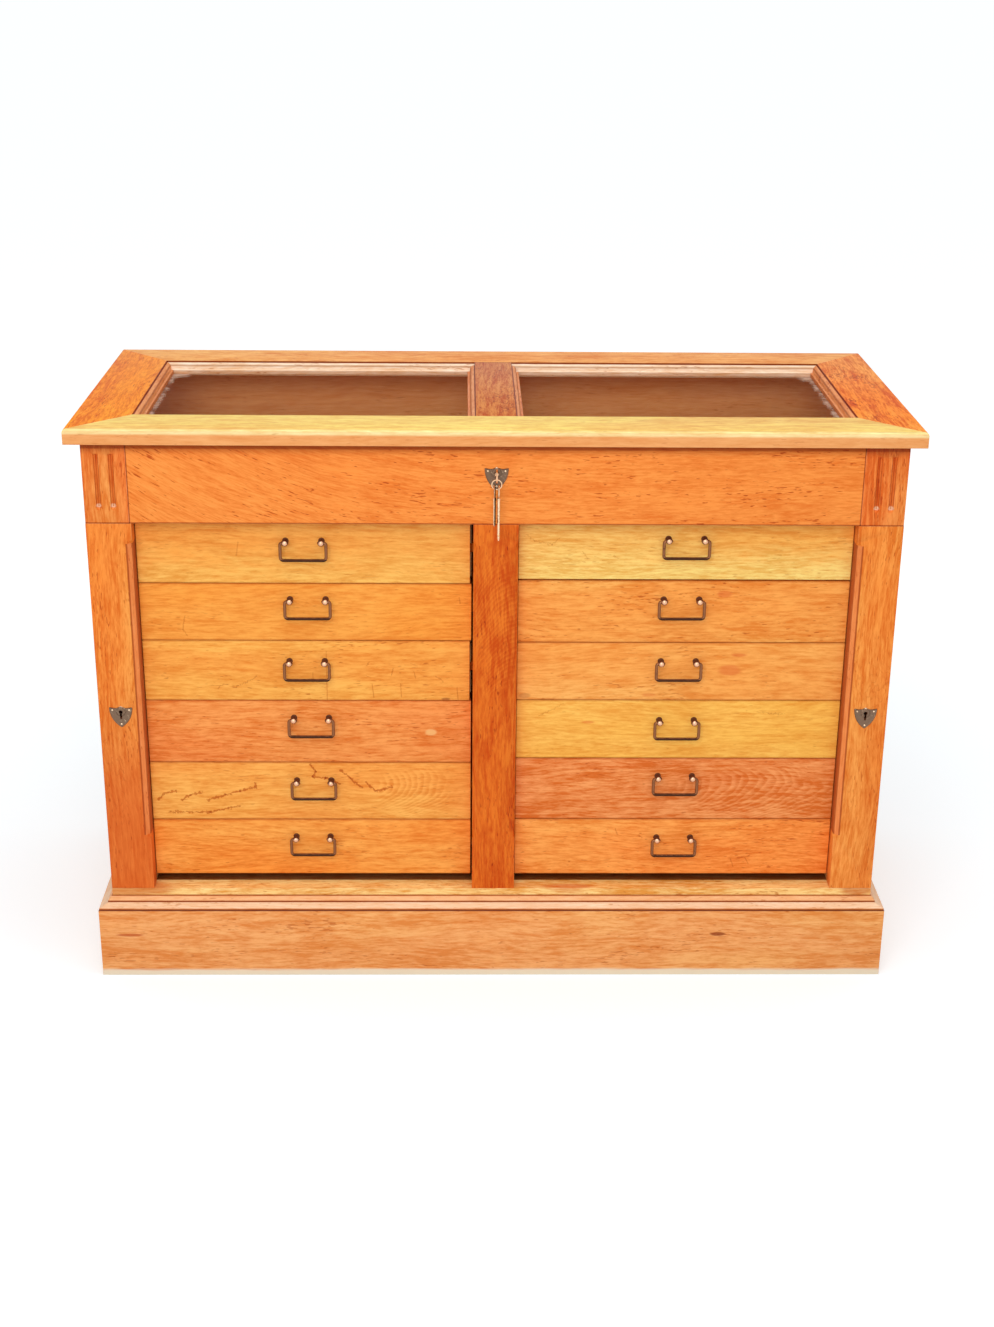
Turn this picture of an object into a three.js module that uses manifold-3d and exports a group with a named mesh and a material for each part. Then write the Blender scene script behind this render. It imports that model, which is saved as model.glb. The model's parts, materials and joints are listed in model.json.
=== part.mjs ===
// Haberdashery cabinet in oak: two stacks of six drawers behind locking stiles, under a glazed lift-up lid.
// Millimetres, +Z up, the front faces -Y. The origin is on the floor, in the middle of the whole outline.

import * as THREE from "three";
import { mergeVertices } from "three/addons/utils/BufferGeometryUtils.js";
import Module from "manifold-3d";

const wasm = await Module();
wasm.setup();

// Case, from the floor up
const caseWidth = 1258;
const caseDepth = 531;
const lidOverhang = 21;
const plinthHeight = 140;
const baseThickness = 12.5;
const bottomGap = 12.5;
const drawerStackHeight = 618;
const friezeHeight = 129;
const lidThickness = 24;

// Fits
const glueGap = 0.1;
const seatGap = 0.3;
const runningGap = 0.8;
const overrun = 5;

// Lid frame and glass
const lidMemberWidth = 91;
const lidMouldingWidth = 12;
const lidArris = 5;
const lidQuirkDepth = 2.5;
const lidQuirkWidth = 1.5;
const lidOvoloWidth = 6.5;
const lidOvoloDepth = 9;
const lidFilletDepth = 2;
const rebateWidth = 8;
const rebateHeight = 4;
const mullionWidth = 63.6;
const glassThickness = 3;

// Sides, back, floor of the display and upright between the drawers
const sideThickness = 22;
const sideRailWidth = 96;
const sideStileWidth = 78;
const backMuntinWidth = 78;
const panelRecess = 8;
const panelBevel = 7;
const backThickness = 18;
const displayFloorThickness = 12;
const displayFloorRise = 5;
const partitionThickness = 20;
const facingThickness = 22;
const centreStileWidth = 69.6;
const centreChamfer = 5;

// Locking stiles and their pivots
const stileWidth = 69.5;
const stileThickness = 28;
const stileEndGap = 0.5;
const stileChamfer = 9;
const chamferTopStop = 27;
const chamferFootStop = 93;
const chamferRunout = 14;
const pivotInset = 8;
const pivotPinRadius = 3;
const pivotPinLength = 8;
const pivotBoreGap = 0.5;

// Frieze and capital blocks
const friezeSetback = 0.6;
const blockWidth = 67;
const fluteRadius = 4;
const fluteDepth = 2.8;
const fluteTopMargin = 19;
const fluteFootMargin = 21;
const fluteEyeRadius = 4.6;

// Plinth
const plinthThickness = 34;
const plinthFaceHeight = 121.5;
const plinthMouldingWidth = 20;
const plinthNosing = 1;
const plinthQuirk = 2.5;
const plinthBandRise = 3.5;
const plinthUpperShare = 0.3;

// Drawers and runners
const drawerSetback = 27.5;
const drawerSideGap = 1;
const stackInnerGap = { left: 2.6, right: 1.2 };
const drawerRowGap = 1;
const drawerFrontThickness = 20;
const drawerFrontArris = 1;
const drawerWall = 12;
const drawerBackGap = 10;
const drawerBottomThickness = 5;
const drawerBottomRise = 8;
const drawerBoxTopInset = 12;
const drawerBoxFootInset = 6;
const grooveDepth = 6.5;
const runnerHeight = 14;
const runnerGap = 0.6;

// Drop handles
const handleWidth = 76;
const handlePostSpacing = 56;
const handleDrop = 32;
const bailDrop = 31;
const bailWireRadius = 2.45;
const bailTopBend = 3.6;
const bailFootBend = 5;
const bailBoreGap = 0.45;
const postReach = 12;
const postBallRadius = 5.3;
const postStemRadius = 3.2;
const postRoseRadius = 5;
const postRoseThickness = 1.5;
const bailEndReach = 6;

// Locks, escutcheons and keys
const shieldWidth = 37;
const shieldHeight = 37;
const shieldThickness = 1.8;
const shieldCornerDrop = 1.2;
const shieldDip = 4;
const shieldLobeShares = [0.25, 0.5, 0.75];
const shieldFlankShare = 0.667;
const bossRadius = 7;
const bossHeight = 1.6;
const keyholeRadius = 3;
const keyholeSlotWidth = 3;
const keyholeLength = 10;
const keyBelowShieldTop = 10;
const lidShieldBelowTop = 36.5;
const stileShieldHeight = 480;
const lockWidth = 60;
const lockDepth = 12;
const lockWall = 1.6;
const lidLockFoot = 20;
const stileLockHeight = 56;
const stileLockWidth = 40;
const boltWidth = 26;
const boltThickness = 4;
const boltTravel = 6;
const boltMortiseGap = 2;
const bowRadius = 8.6;
const bowBarRadius = 2.2;
const bowThickness = 3;
const shankRadius = 2;
const bitReach = 9;
const bitHeight = 6;
const bitThickness = 2;
const collarRadius = 2.9;
const collarLength = 3;
const bowClearOfBoss = 7;
const keyNoseLength = 1;
const longKeyLength = 87;
const shortKeyLength = 64;
const ringRadius = 7.5;
const ringWireRadius = 0.9;
const spareKeySpacing = 6.4;

// Facets of round forms
const fineSides = 24;
const roundSides = 12;
const barSides = 8;
const ringWireSides = 6;
const eyeBands = 6;
const bendSteps = 3;
const topBendSteps = 2;
const arcSteps = 4;
const weldTolerance = 1e-4;

// Lid hinges
const hingeLength = 60;
const hingeKnuckleCount = 3;
const hingeLeafWidth = 14;
const hingeLeafThickness = 1.8;
const knuckleRadius = 3.5;
const knuckleClearance = 0.3;
const hingePinRadius = 1.5;
const hingeBoreGap = 0.4;
const hingeEndInset = 190;

// Heights of the hand-made fronts from the top down, against their mean, and each handle's place on its front
const frontHeightShares = {
  left: [1.03, 0.93, 1, 1.06, 1, 0.98],
  right: [0.97, 1.01, 0.965, 0.995, 1.07, 0.99],
};
const handleDropShares = {
  left: [1.1, 0.8, 1.07, 0.92, 0.98, 0.95],
  right: [0.94, 0.95, 0.97, 1.06, 0.97, 1.03],
};
const handleShiftShares = {
  left: [-0.02, 0.035, -0.015, 0.04, 0.06, 0.01],
  right: [0, -0.045, -0.05, -0.03, -0.01, 0.02],
};

// Levels and planes worked out from the sizes above
const baseTop = plinthHeight + baseThickness;
const stackFoot = baseTop + bottomGap;
const friezeFoot = stackFoot + drawerStackHeight;
const caseTop = friezeFoot + friezeHeight;
const overallHeight = caseTop + lidThickness;
const lidWidth = caseWidth + 2 * lidOverhang;
const lidDepth = caseDepth + lidOverhang;
const caseHalf = caseWidth / 2;
const caseFront = lidOverhang;
const caseBack = lidDepth;
const drawerFace = caseFront + drawerSetback;
const carcassFront = caseFront + stileThickness + seatGap;
const backFace = caseBack - backThickness;
const stileInner = caseHalf - stileWidth;
const drawerOuter = stileInner - drawerSideGap;
const drawerInner = (hand) => centreStileWidth / 2 + stackInnerGap[hand];
const drawerEnd = backFace - drawerBackGap;
const displayFloorFoot = friezeFoot + displayFloorRise;
const friezeFace = caseFront + friezeSetback;
const friezeBackFace = carcassFront - seatGap;
const lidLockFace = friezeBackFace + glueGap;
const boltY = lidLockFace + lockDepth / 2;
const lidKeyHeight = caseTop - lidShieldBelowTop - keyBelowShieldTop;
const stileKeyHeight = stileShieldHeight - keyBelowShieldTop;
const stileMiddle = caseHalf - stileWidth / 2;
const pivotX = caseHalf - pivotInset;
const pivotY = caseFront + stileThickness - pivotInset;
const hingeAxisY = caseBack + knuckleRadius + knuckleClearance;
const bowCentreY = friezeFace - shieldThickness - bossHeight - bowClearOfBoss - bowRadius - bowBarRadius;
const frontMost = bowCentreY - bowRadius - bowBarRadius;
const backMost = hingeAxisY + knuckleRadius;
const bitSpaceRadius = bitReach + 2 * seatGap + runningGap;

// Turns in degrees
const quarterTurn = 90;
const halfTurn = 180;

// Materials
function finish(colour, roughness, metalness) {
  return new THREE.MeshStandardMaterial({ color: colour, roughness, metalness });
}
const oak = () => finish(0xc9773a, 0.55, 0);
const paleOak = () => finish(0xd99a55, 0.5, 0);
const innerOak = () => finish(0x7a4a2a, 0.7, 0);
const bronze = () => finish(0x6b4a34, 0.4, 0.9);
const brass = () => finish(0x9a7f56, 0.4, 0.9);
const steel = () => finish(0xb8b2a6, 0.35, 1);
const clearGlass = () => finish(0xdfe8e6, 0.05, 0);

// Closed meshes, with shared corners and faces pointing out
function solid(geometry) {
  const bare = geometry.index ? geometry.clone() : geometry;
  for (const name of ["normal", "uv"]) {
    bare.deleteAttribute(name);
  }
  const merged = mergeVertices(bare, weldTolerance);
  const position = merged.getAttribute("position");
  const index = Array.from(merged.index.array);
  const [a, b, c] = [new THREE.Vector3(), new THREE.Vector3(), new THREE.Vector3()];
  let volume = 0;
  for (let i = 0; i < index.length; i += 3) {
    a.fromBufferAttribute(position, index[i]);
    b.fromBufferAttribute(position, index[i + 1]);
    c.fromBufferAttribute(position, index[i + 2]);
    volume += a.dot(b.cross(c));
  }
  const triVerts = new Uint32Array(volume < 0 ? index.reverse() : index);
  const mesh = new wasm.Mesh({ numProp: 3, vertProperties: new Float32Array(position.array), triVerts });
  return new wasm.Manifold(mesh);
}

function geometryOf(manifold) {
  const mesh = manifold.getMesh();
  const geometry = new THREE.BufferGeometry();
  geometry.setAttribute("position", new THREE.BufferAttribute(mesh.vertProperties, 3));
  geometry.setIndex(new THREE.BufferAttribute(mesh.triVerts, 1));
  geometry.computeVertexNormals();
  return geometry;
}

const join = (...pieces) => pieces.reduce((sum, piece) => sum.add(piece));
const cut = (piece, ...tools) => tools.reduce((rest, tool) => rest.subtract(tool), piece);

// A straight-sided block between two corners
function block([x0, y0, z0], [x1, y1, z1]) {
  const geometry = new THREE.BoxGeometry(x1 - x0, y1 - y0, z1 - z0);
  return solid(geometry.translate((x0 + x1) / 2, (y0 + y1) / 2, (z0 + z1) / 2));
}

// A closed skin through rings of the same number of points, capped at both ends
function loft(rings, outline) {
  const count = outline.length;
  const positions = rings.flatMap((ring) => ring.flatMap((point) => point.toArray()));
  const index = [];
  for (let ring = 0; ring < rings.length - 1; ring += 1) {
    for (let i = 0; i < count; i += 1) {
      const here = ring * count + i;
      const next = ring * count + ((i + 1) % count);
      index.push(here, next, next + count, here, next + count, here + count);
    }
  }
  const last = (rings.length - 1) * count;
  const clockwise = THREE.ShapeUtils.isClockWise(outline);
  for (const face of THREE.ShapeUtils.triangulateShape(outline, [])) {
    const [a, b, c] = clockwise ? face.reverse() : face;
    index.push(c, b, a, last + a, last + b, last + c);
  }
  const geometry = new THREE.BufferGeometry();
  geometry.setAttribute("position", new THREE.Float32BufferAttribute(positions, 3));
  geometry.setIndex(index);
  return solid(geometry);
}

// A bar of a given section, which runs along X from zero, with square or mitred ends
function mouldedBar(outline, length, mitreStart, mitreEnd) {
  const start = outline.map((p) => new THREE.Vector3(glueGap + (mitreStart ? p.x : 0), p.x, p.y));
  const end = outline.map((p) => new THREE.Vector3(length - glueGap - (mitreEnd ? p.x : 0), p.x, p.y));
  return loft([start, end], outline);
}

// A round bar between two points
function bar(radius, from, to, sides) {
  const span = new THREE.Vector3().subVectors(to, from);
  const geometry = new THREE.CylinderGeometry(radius, radius, span.length(), sides);
  const upright = new THREE.Vector3(0, 1, 0);
  geometry.applyQuaternion(new THREE.Quaternion().setFromUnitVectors(upright, span.clone().normalize()));
  const middle = from.clone().add(to).divideScalar(2);
  return solid(geometry.translate(middle.x, middle.y, middle.z));
}

const point = (x, y, z) => new THREE.Vector3(x, y, z);

// The same piece on the other side of the cabinet
const mirrored = (piece) => piece.mirror([1, 0, 0]);

// A path that turns only at the stations it is given
class StationPath extends THREE.Curve {
  constructor(stations) {
    super();
    this.stations = stations;
  }

  getPoint(t, target = new THREE.Vector3()) {
    const place = THREE.MathUtils.clamp(t, 0, 1) * (this.stations.length - 1);
    const leg = Math.min(Math.floor(place), this.stations.length - 2);
    return target.lerpVectors(this.stations[leg], this.stations[leg + 1], place - leg);
  }

  getUtoTmapping(u) {
    return u;
  }
}

function wire(stations, radius, sides) {
  const section = new THREE.Shape();
  for (let i = 0; i < sides; i += 1) {
    const angle = (2 * Math.PI * i) / sides;
    const place = [radius * Math.cos(angle), radius * Math.sin(angle)];
    i === 0 ? section.moveTo(...place) : section.lineTo(...place);
  }
  section.closePath();
  const path = new StationPath(stations);
  return solid(new THREE.ExtrudeGeometry(section, { extrudePath: path, steps: stations.length - 1 }));
}

// Points round a bend in the XZ plane, both ends included
function bend(centreX, centreZ, radius, fromAngle, toAngle, steps) {
  return Array.from({ length: steps + 1 }, (_, i) => {
    const angle = fromAngle + ((toAngle - fromAngle) * i) / steps;
    return point(centreX + radius * Math.cos(angle), 0, centreZ + radius * Math.sin(angle));
  });
}

// Stopped chamfer along a vertical edge: the cutter swells from nothing over its runout at both ends
function stoppedChamfer(edgeX, edgeY, inward, size, foot, top) {
  const rings = [];
  const ring = (height, depth) => [
    point(edgeX - inward * overrun, edgeY + depth, height),
    point(edgeX - inward * overrun, edgeY - overrun, height),
    point(edgeX + inward * depth, edgeY - overrun, height),
    point(edgeX + inward * depth, edgeY, height),
    point(edgeX, edgeY + depth, height),
  ];
  for (let i = 0; i <= bendSteps; i += 1) {
    const turn = (Math.PI / 2) * (i / bendSteps);
    rings.push(ring(foot + chamferRunout * (1 - Math.cos(turn)), size * Math.sin(turn)));
  }
  for (let i = bendSteps; i >= 0; i -= 1) {
    const turn = (Math.PI / 2) * (i / bendSteps);
    rings.push(ring(top - chamferRunout * (1 - Math.cos(turn)), size * Math.sin(turn)));
  }
  const outline = [
    new THREE.Vector2(-overrun, size),
    new THREE.Vector2(-overrun, -overrun),
    new THREE.Vector2(size, -overrun),
    new THREE.Vector2(size, 0),
    new THREE.Vector2(0, size),
  ];
  return loft(rings, outline);
}

// Lid section from the outer edge inwards: rounded arris, flat top, quirk, ovolo, fillet, sight edge, rebate
function lidEdgeOutline() {
  const outline = [new THREE.Vector2(0, 0)];
  for (let i = 0; i <= arcSteps; i += 1) {
    const turn = (Math.PI / 2) * (i / arcSteps);
    outline.push(
      new THREE.Vector2(lidArris * (1 - Math.cos(turn)), lidThickness - lidArris * (1 - Math.sin(turn))),
    );
  }
  return outline;
}

function lidMouldingOutline(inner) {
  const outline = [new THREE.Vector2(inner, lidThickness)];
  const quirkFoot = lidThickness - lidQuirkDepth;
  const ovoloStart = inner + lidQuirkWidth;
  outline.push(new THREE.Vector2(inner, quirkFoot));
  for (let i = 0; i <= arcSteps; i += 1) {
    const turn = (Math.PI / 2) * (i / arcSteps);
    const across = lidOvoloWidth * Math.sin(turn);
    outline.push(new THREE.Vector2(ovoloStart + across, quirkFoot - lidOvoloDepth * (1 - Math.cos(turn))));
  }
  const sight = inner + lidMouldingWidth;
  const filletFoot = quirkFoot - lidOvoloDepth - lidFilletDepth;
  outline.push(new THREE.Vector2(ovoloStart + lidOvoloWidth, filletFoot));
  outline.push(new THREE.Vector2(sight, filletFoot));
  outline.push(new THREE.Vector2(sight, rebateHeight));
  outline.push(new THREE.Vector2(sight - rebateWidth, rebateHeight));
  outline.push(new THREE.Vector2(sight - rebateWidth, 0));
  return outline;
}

const lidSection = [...lidEdgeOutline(), ...lidMouldingOutline(lidMemberWidth)];
const sightInset = lidMemberWidth + lidMouldingWidth;

// Housing in the front and back members that takes the mullion's end
function mullionHousing() {
  const half = mullionWidth / 2 + glueGap;
  return block([-half, lidMemberWidth, caseTop - overrun],
    [half, sightInset + overrun, overallHeight + overrun]);
}

function lidFrontRail() {
  const rail = mouldedBar(lidSection, lidWidth, true, true).translate([-lidWidth / 2, 0, caseTop]);
  const mortiseHalf = boltWidth / 2 + boltMortiseGap;
  const mortise = block(
    [-mortiseHalf, boltY - boltThickness / 2 - boltMortiseGap, caseTop - overrun],
    [mortiseHalf, boltY + boltThickness / 2 + boltMortiseGap, caseTop + boltTravel + boltMortiseGap],
  );
  return cut(rail, mullionHousing(), mortise);
}

function leafRecess(hingeX) {
  const half = hingeLength / 2 + seatGap;
  const depth = hingeLeafThickness + seatGap;
  return block([hingeX - half, caseBack - hingeLeafWidth - seatGap, caseTop - depth],
    [hingeX + half, caseBack + overrun, caseTop + depth]);
}

const hingeX = caseHalf - hingeEndInset;

function lidBackRail() {
  const rail = mouldedBar(lidSection, lidWidth, true, true).rotate([0, 0, halfTurn]);
  const placed = rail.translate([lidWidth / 2, lidDepth, caseTop]);
  const housing = mullionHousing().rotate([0, 0, halfTurn]).translate([0, lidDepth, 0]);
  return cut(placed, housing, leafRecess(hingeX), leafRecess(-hingeX));
}

function lidSideRail() {
  const rail = mouldedBar(lidSection, lidDepth, true, true).rotate([0, 0, quarterTurn]);
  return rail.translate([lidWidth / 2, 0, caseTop]);
}

// The mullion's moulded section lies between the sight edges, and its plain core runs on into the housings
function lidMullion() {
  const half = mullionWidth / 2;
  const rightHalf = lidMouldingOutline(half);
  const leftHalf = rightHalf.map((p) => new THREE.Vector2(-p.x, p.y)).reverse();
  const section = [...rightHalf, ...leftHalf];
  const front = sightInset + seatGap;
  const back = lidDepth - sightInset - seatGap;
  const ring = (y) => section.map((p) => point(p.x, y, caseTop + p.y));
  const core = block([-half, lidMemberWidth + glueGap, caseTop],
    [half, lidDepth - lidMemberWidth - glueGap, overallHeight]);
  return join(loft([ring(front), ring(back)], section), core);
}

function glassPane() {
  const lap = rebateWidth - seatGap;
  const foot = caseTop + rebateHeight - seatGap - glassThickness;
  return block([mullionWidth / 2 + lidMouldingWidth - lap, sightInset - lap, foot],
    [lidWidth / 2 - sightInset + lap, lidDepth - sightInset + lap, foot + glassThickness]);
}

// Butt hinges: the case leaf carries the outer knuckles and the pin, the lid leaf the middle knuckle
const knuckleLength = hingeLength / hingeKnuckleCount;

function knuckle(from, to) {
  return bar(knuckleRadius, point(from, hingeAxisY, caseTop), point(to, hingeAxisY, caseTop), barSides);
}

function leafPlate(foot, from, to, reachY) {
  return block([from, caseBack - hingeLeafWidth, foot], [to, reachY, foot + hingeLeafThickness]);
}

function caseLeaf(x) {
  const [from, to] = [x - hingeLength / 2, x + hingeLength / 2];
  const foot = caseTop - glueGap - hingeLeafThickness;
  const pin = bar(hingePinRadius, point(from + overrun, hingeAxisY, caseTop),
    point(to - overrun, hingeAxisY, caseTop), barSides);
  return join(
    leafPlate(foot, from, to, caseBack),
    leafPlate(foot, from, from + knuckleLength, hingeAxisY),
    leafPlate(foot, to - knuckleLength, to, hingeAxisY),
    knuckle(from, from + knuckleLength),
    knuckle(to - knuckleLength, to),
    pin,
  );
}

function lidLeaf(x) {
  const [from, to] = [x - hingeLength / 2, x + hingeLength / 2];
  const foot = caseTop + glueGap;
  const [near, far] = [from + knuckleLength + seatGap, to - knuckleLength - seatGap];
  const bore = bar(hingePinRadius + hingeBoreGap, point(from, hingeAxisY, caseTop),
    point(to, hingeAxisY, caseTop), barSides);
  const plates = join(leafPlate(foot, from, to, caseBack), leafPlate(foot, near, far, hingeAxisY));
  return cut(join(plates, knuckle(near, far)), bore);
}

// Recess with bevelled edges in the outer face of a frame-and-panel board, cut from a plane along +X
function panelCutter(y0, y1, z0, z1, facePlane) {
  const ring = (x, grow) => [
    point(x, y0 - grow, z0 - grow),
    point(x, y1 + grow, z0 - grow),
    point(x, y1 + grow, z1 + grow),
    point(x, y0 - grow, z1 + grow),
  ];
  const outline = [
    new THREE.Vector2(y0, z0),
    new THREE.Vector2(y1, z0),
    new THREE.Vector2(y1, z1),
    new THREE.Vector2(y0, z1),
  ];
  const flare = (panelBevel * (panelRecess + overrun)) / panelRecess;
  return loft([ring(facePlane - panelRecess, 0), ring(facePlane + overrun, flare)], outline);
}

// Row levels of one stack, from the top down
function rows(hand) {
  const shares = frontHeightShares[hand];
  const whole = shares.reduce((sum, share) => sum + share);
  let top = friezeFoot;
  return shares.map((share) => {
    const height = (share / whole) * drawerStackHeight;
    const row = { top: top - drawerRowGap / 2, foot: top - height + drawerRowGap / 2 };
    top -= height;
    row.middle = (row.top + row.foot) / 2;
    return row;
  });
}

const runnerStart = drawerFace + drawerFrontThickness + runningGap;

function runners(hand, from, to) {
  const half = runnerHeight / 2;
  return rows(hand).map(({ middle }) =>
    block([from, runnerStart, middle - half], [to, backFace - glueGap, middle + half]));
}

// Side: frame-and-panel board, the facing behind the locking stile, and its runners
function side(hand) {
  const foot = baseTop + glueGap;
  const top = caseTop - glueGap;
  const board = block([caseHalf - sideThickness, carcassFront, foot], [caseHalf, caseBack, top]);
  const recess = panelCutter(carcassFront + sideStileWidth, caseBack - sideStileWidth,
    foot + sideRailWidth, top - sideRailWidth, caseHalf);
  const facing = block([stileInner + drawerSideGap / 2, carcassFront, foot],
    [caseHalf - sideThickness + overrun, carcassFront + facingThickness, displayFloorFoot - glueGap]);
  const runnerEdge = drawerOuter - grooveDepth + runnerGap;
  return join(cut(board, recess), facing, ...runners(hand, runnerEdge, caseHalf - sideThickness + overrun));
}

function backPanel() {
  const half = caseHalf - sideThickness - glueGap;
  const foot = baseTop + glueGap;
  const top = caseTop - glueGap;
  const board = block([-half, backFace, foot], [half, caseBack, top]);
  const recess = panelCutter(backMuntinWidth / 2, half - sideStileWidth, foot + sideRailWidth,
    top - sideRailWidth, caseBack);
  const rightRecess = mirrored(recess.rotate([0, 0, quarterTurn]));
  return cut(board, rightRecess, mirrored(rightRecess), leafRecess(hingeX), leafRecess(-hingeX));
}

function pivotSocket(from, to) {
  return bar(pivotPinRadius + pivotBoreGap, point(pivotX, pivotY, from), point(pivotX, pivotY, to), barSides);
}

function baseBoard() {
  const board = block([-caseHalf, caseFront, plinthHeight + glueGap], [caseHalf, caseBack, baseTop]);
  const socket = pivotSocket(baseTop - pivotPinLength - seatGap, baseTop + overrun);
  return cut(board, socket, mirrored(socket));
}

// The display floor lies on the upright and the facings, between frieze and back
function displayFloor() {
  const half = caseHalf - sideThickness - glueGap;
  return block([-half, friezeBackFace + glueGap, displayFloorFoot],
    [half, backFace - glueGap, displayFloorFoot + displayFloorThickness]);
}

// Upright between the stacks: centre stile in front, partition behind, runners on both faces
function centreUpright() {
  const half = centreStileWidth / 2;
  const foot = baseTop + glueGap;
  const stile = block([-half, caseFront, foot], [half, caseFront + stileThickness, friezeFoot - glueGap]);
  const chamfer = stoppedChamfer(half, caseFront, -1, centreChamfer, baseTop + chamferFootStop,
    friezeFoot - chamferTopStop);
  const board = block([-partitionThickness / 2, caseFront + stileThickness - overrun, foot],
    [partitionThickness / 2, backFace - glueGap, displayFloorFoot - glueGap]);
  const housing = block([-half, caseFront, friezeFoot - glueGap],
    [half, friezeBackFace + glueGap, displayFloorFoot + overrun]);
  const runnerEdge = (hand) => drawerInner(hand) + grooveDepth - runnerGap;
  return join(
    cut(stile, chamfer, mirrored(chamfer)),
    cut(board, housing),
    ...runners("right", 0, runnerEdge("right")),
    ...runners("left", 0, runnerEdge("left")).map(mirrored),
  );
}

// Keyhole: a round eye with a slot below it, cut along Y
function keyhole(x, height, fromY, toY) {
  const half = keyholeSlotWidth / 2;
  const eye = bar(keyholeRadius, point(x, fromY, height), point(x, toY, height), barSides);
  return join(eye, block([x - half, fromY, height - keyholeLength], [x + half, toY, height]));
}

function frieze() {
  const half = caseHalf - blockWidth - 2 * seatGap;
  const board = block([-half, friezeFace, friezeFoot], [half, friezeBackFace, caseTop - glueGap]);
  return cut(board, keyhole(0, lidKeyHeight, friezeFace - overrun, friezeBackFace + overrun));
}

// Capital block with two stopped flutes, each ending below in a round drilled eye
function capitalBlock() {
  const outer = caseHalf - seatGap;
  const body = block([outer - blockWidth, caseFront, friezeFoot], [outer, friezeBackFace, caseTop - glueGap]);
  const fluteCount = 2;
  const axisY = caseFront + fluteDepth - fluteRadius;
  const top = caseTop - fluteTopMargin - fluteRadius;
  const foot = friezeFoot + fluteFootMargin + fluteRadius;
  const cutters = [];
  for (let i = 1; i <= fluteCount; i += 1) {
    const x = outer - (blockWidth * i) / (fluteCount + 1);
    const gouge = new THREE.CapsuleGeometry(fluteRadius, top - foot, bendSteps, roundSides);
    gouge.rotateX(Math.PI / 2);
    const eye = new THREE.SphereGeometry(fluteEyeRadius, barSides, eyeBands);
    cutters.push(solid(gouge.translate(x, axisY, (top + foot) / 2)), solid(eye.translate(x, axisY, foot)));
  }
  const socket = pivotSocket(friezeFoot - overrun, friezeFoot + pivotPinLength + seatGap);
  return cut(body, ...cutters, socket);
}

// Locking stile: it turns on pins at its outer back corner, which is rounded about them
function lockingStile() {
  const foot = baseTop + stileEndGap;
  const top = friezeFoot - stileEndGap;
  const backPlane = caseFront + stileThickness;
  const body = block([stileInner, caseFront, foot], [caseHalf, backPlane, top]);
  const cornerWaste = block([pivotX, pivotY, foot - overrun],
    [caseHalf + overrun, backPlane + overrun, top + overrun]);
  const round = bar(pivotInset, point(pivotX, pivotY, foot), point(pivotX, pivotY, top), fineSides);
  const chamfer = stoppedChamfer(stileInner, caseFront, 1, stileChamfer, baseTop + chamferFootStop,
    friezeFoot - chamferTopStop);
  const pin = bar(pivotPinRadius, point(pivotX, pivotY, foot - pivotPinLength),
    point(pivotX, pivotY, top + pivotPinLength), barSides);
  const lockHalf = stileLockWidth / 2 + seatGap;
  const lockFoot = stileKeyHeight - stileLockHeight / 2 - seatGap;
  const mortise = block([stileMiddle - lockHalf, backPlane - lockDepth - seatGap, lockFoot],
    [stileMiddle + lockHalf, backPlane + overrun, lockFoot + stileLockHeight + 2 * seatGap]);
  const hole = keyhole(stileMiddle, stileKeyHeight, caseFront - overrun, backPlane + overrun);
  return join(cut(join(cut(body, cornerWaste), round), chamfer, mortise, hole), pin);
}

// Skirting with a moulded top: two sloping bands stepped back to the case
function plinthOutline() {
  const slopeRise = plinthHeight - plinthFaceHeight - plinthQuirk - plinthBandRise / 2;
  const upperWidth = plinthMouldingWidth * plinthUpperShare;
  const lowerWidth = plinthMouldingWidth - upperWidth;
  const upperFoot = plinthHeight - slopeRise / 2;
  const lowerTop = upperFoot - plinthQuirk;
  return [
    new THREE.Vector2(plinthNosing / 2, 0),
    new THREE.Vector2(0, plinthNosing),
    new THREE.Vector2(0, plinthFaceHeight),
    new THREE.Vector2(plinthNosing, plinthFaceHeight + plinthNosing),
    new THREE.Vector2(plinthNosing, plinthFaceHeight + plinthBandRise),
    new THREE.Vector2(lowerWidth, lowerTop),
    new THREE.Vector2(lowerWidth, upperFoot),
    new THREE.Vector2(plinthMouldingWidth, plinthHeight),
    new THREE.Vector2(plinthThickness, plinthHeight),
    new THREE.Vector2(plinthThickness, 0),
  ];
}

function plinthFront() {
  return mouldedBar(plinthOutline(), lidWidth, true, true).translate([-lidWidth / 2, 0, 0]);
}

function plinthReturn() {
  const rail = mouldedBar(plinthOutline(), lidDepth, true, false).rotate([0, 0, quarterTurn]);
  return rail.translate([lidWidth / 2, 0, 0]);
}

// Drawer: front, grooved sides, back and bottom, with the two ball posts of its handle
function handlePlace(hand, row, index) {
  const middle = (drawerInner("right") + drawerOuter) / 2;
  const sign = hand === "left" ? -1 : 1;
  return {
    x: sign * middle + handleShiftShares[hand][index] * handleWidth,
    y: drawerFace - postReach,
    z: row.top - handleDrop * handleDropShares[hand][index],
  };
}

function chamferedFront(near, row) {
  const ring = (y, inset) => [
    point(near + inset, y, row.foot + inset),
    point(drawerOuter - inset, y, row.foot + inset),
    point(drawerOuter - inset, y, row.top - inset),
    point(near + inset, y, row.top - inset),
  ];
  const outline = ring(0, 0).map((p) => new THREE.Vector2(p.x, p.z));
  const back = drawerFace + drawerFrontThickness;
  const rings = [ring(drawerFace, drawerFrontArris), ring(drawerFace + drawerFrontArris, 0), ring(back, 0)];
  return loft(rings, outline);
}

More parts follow.
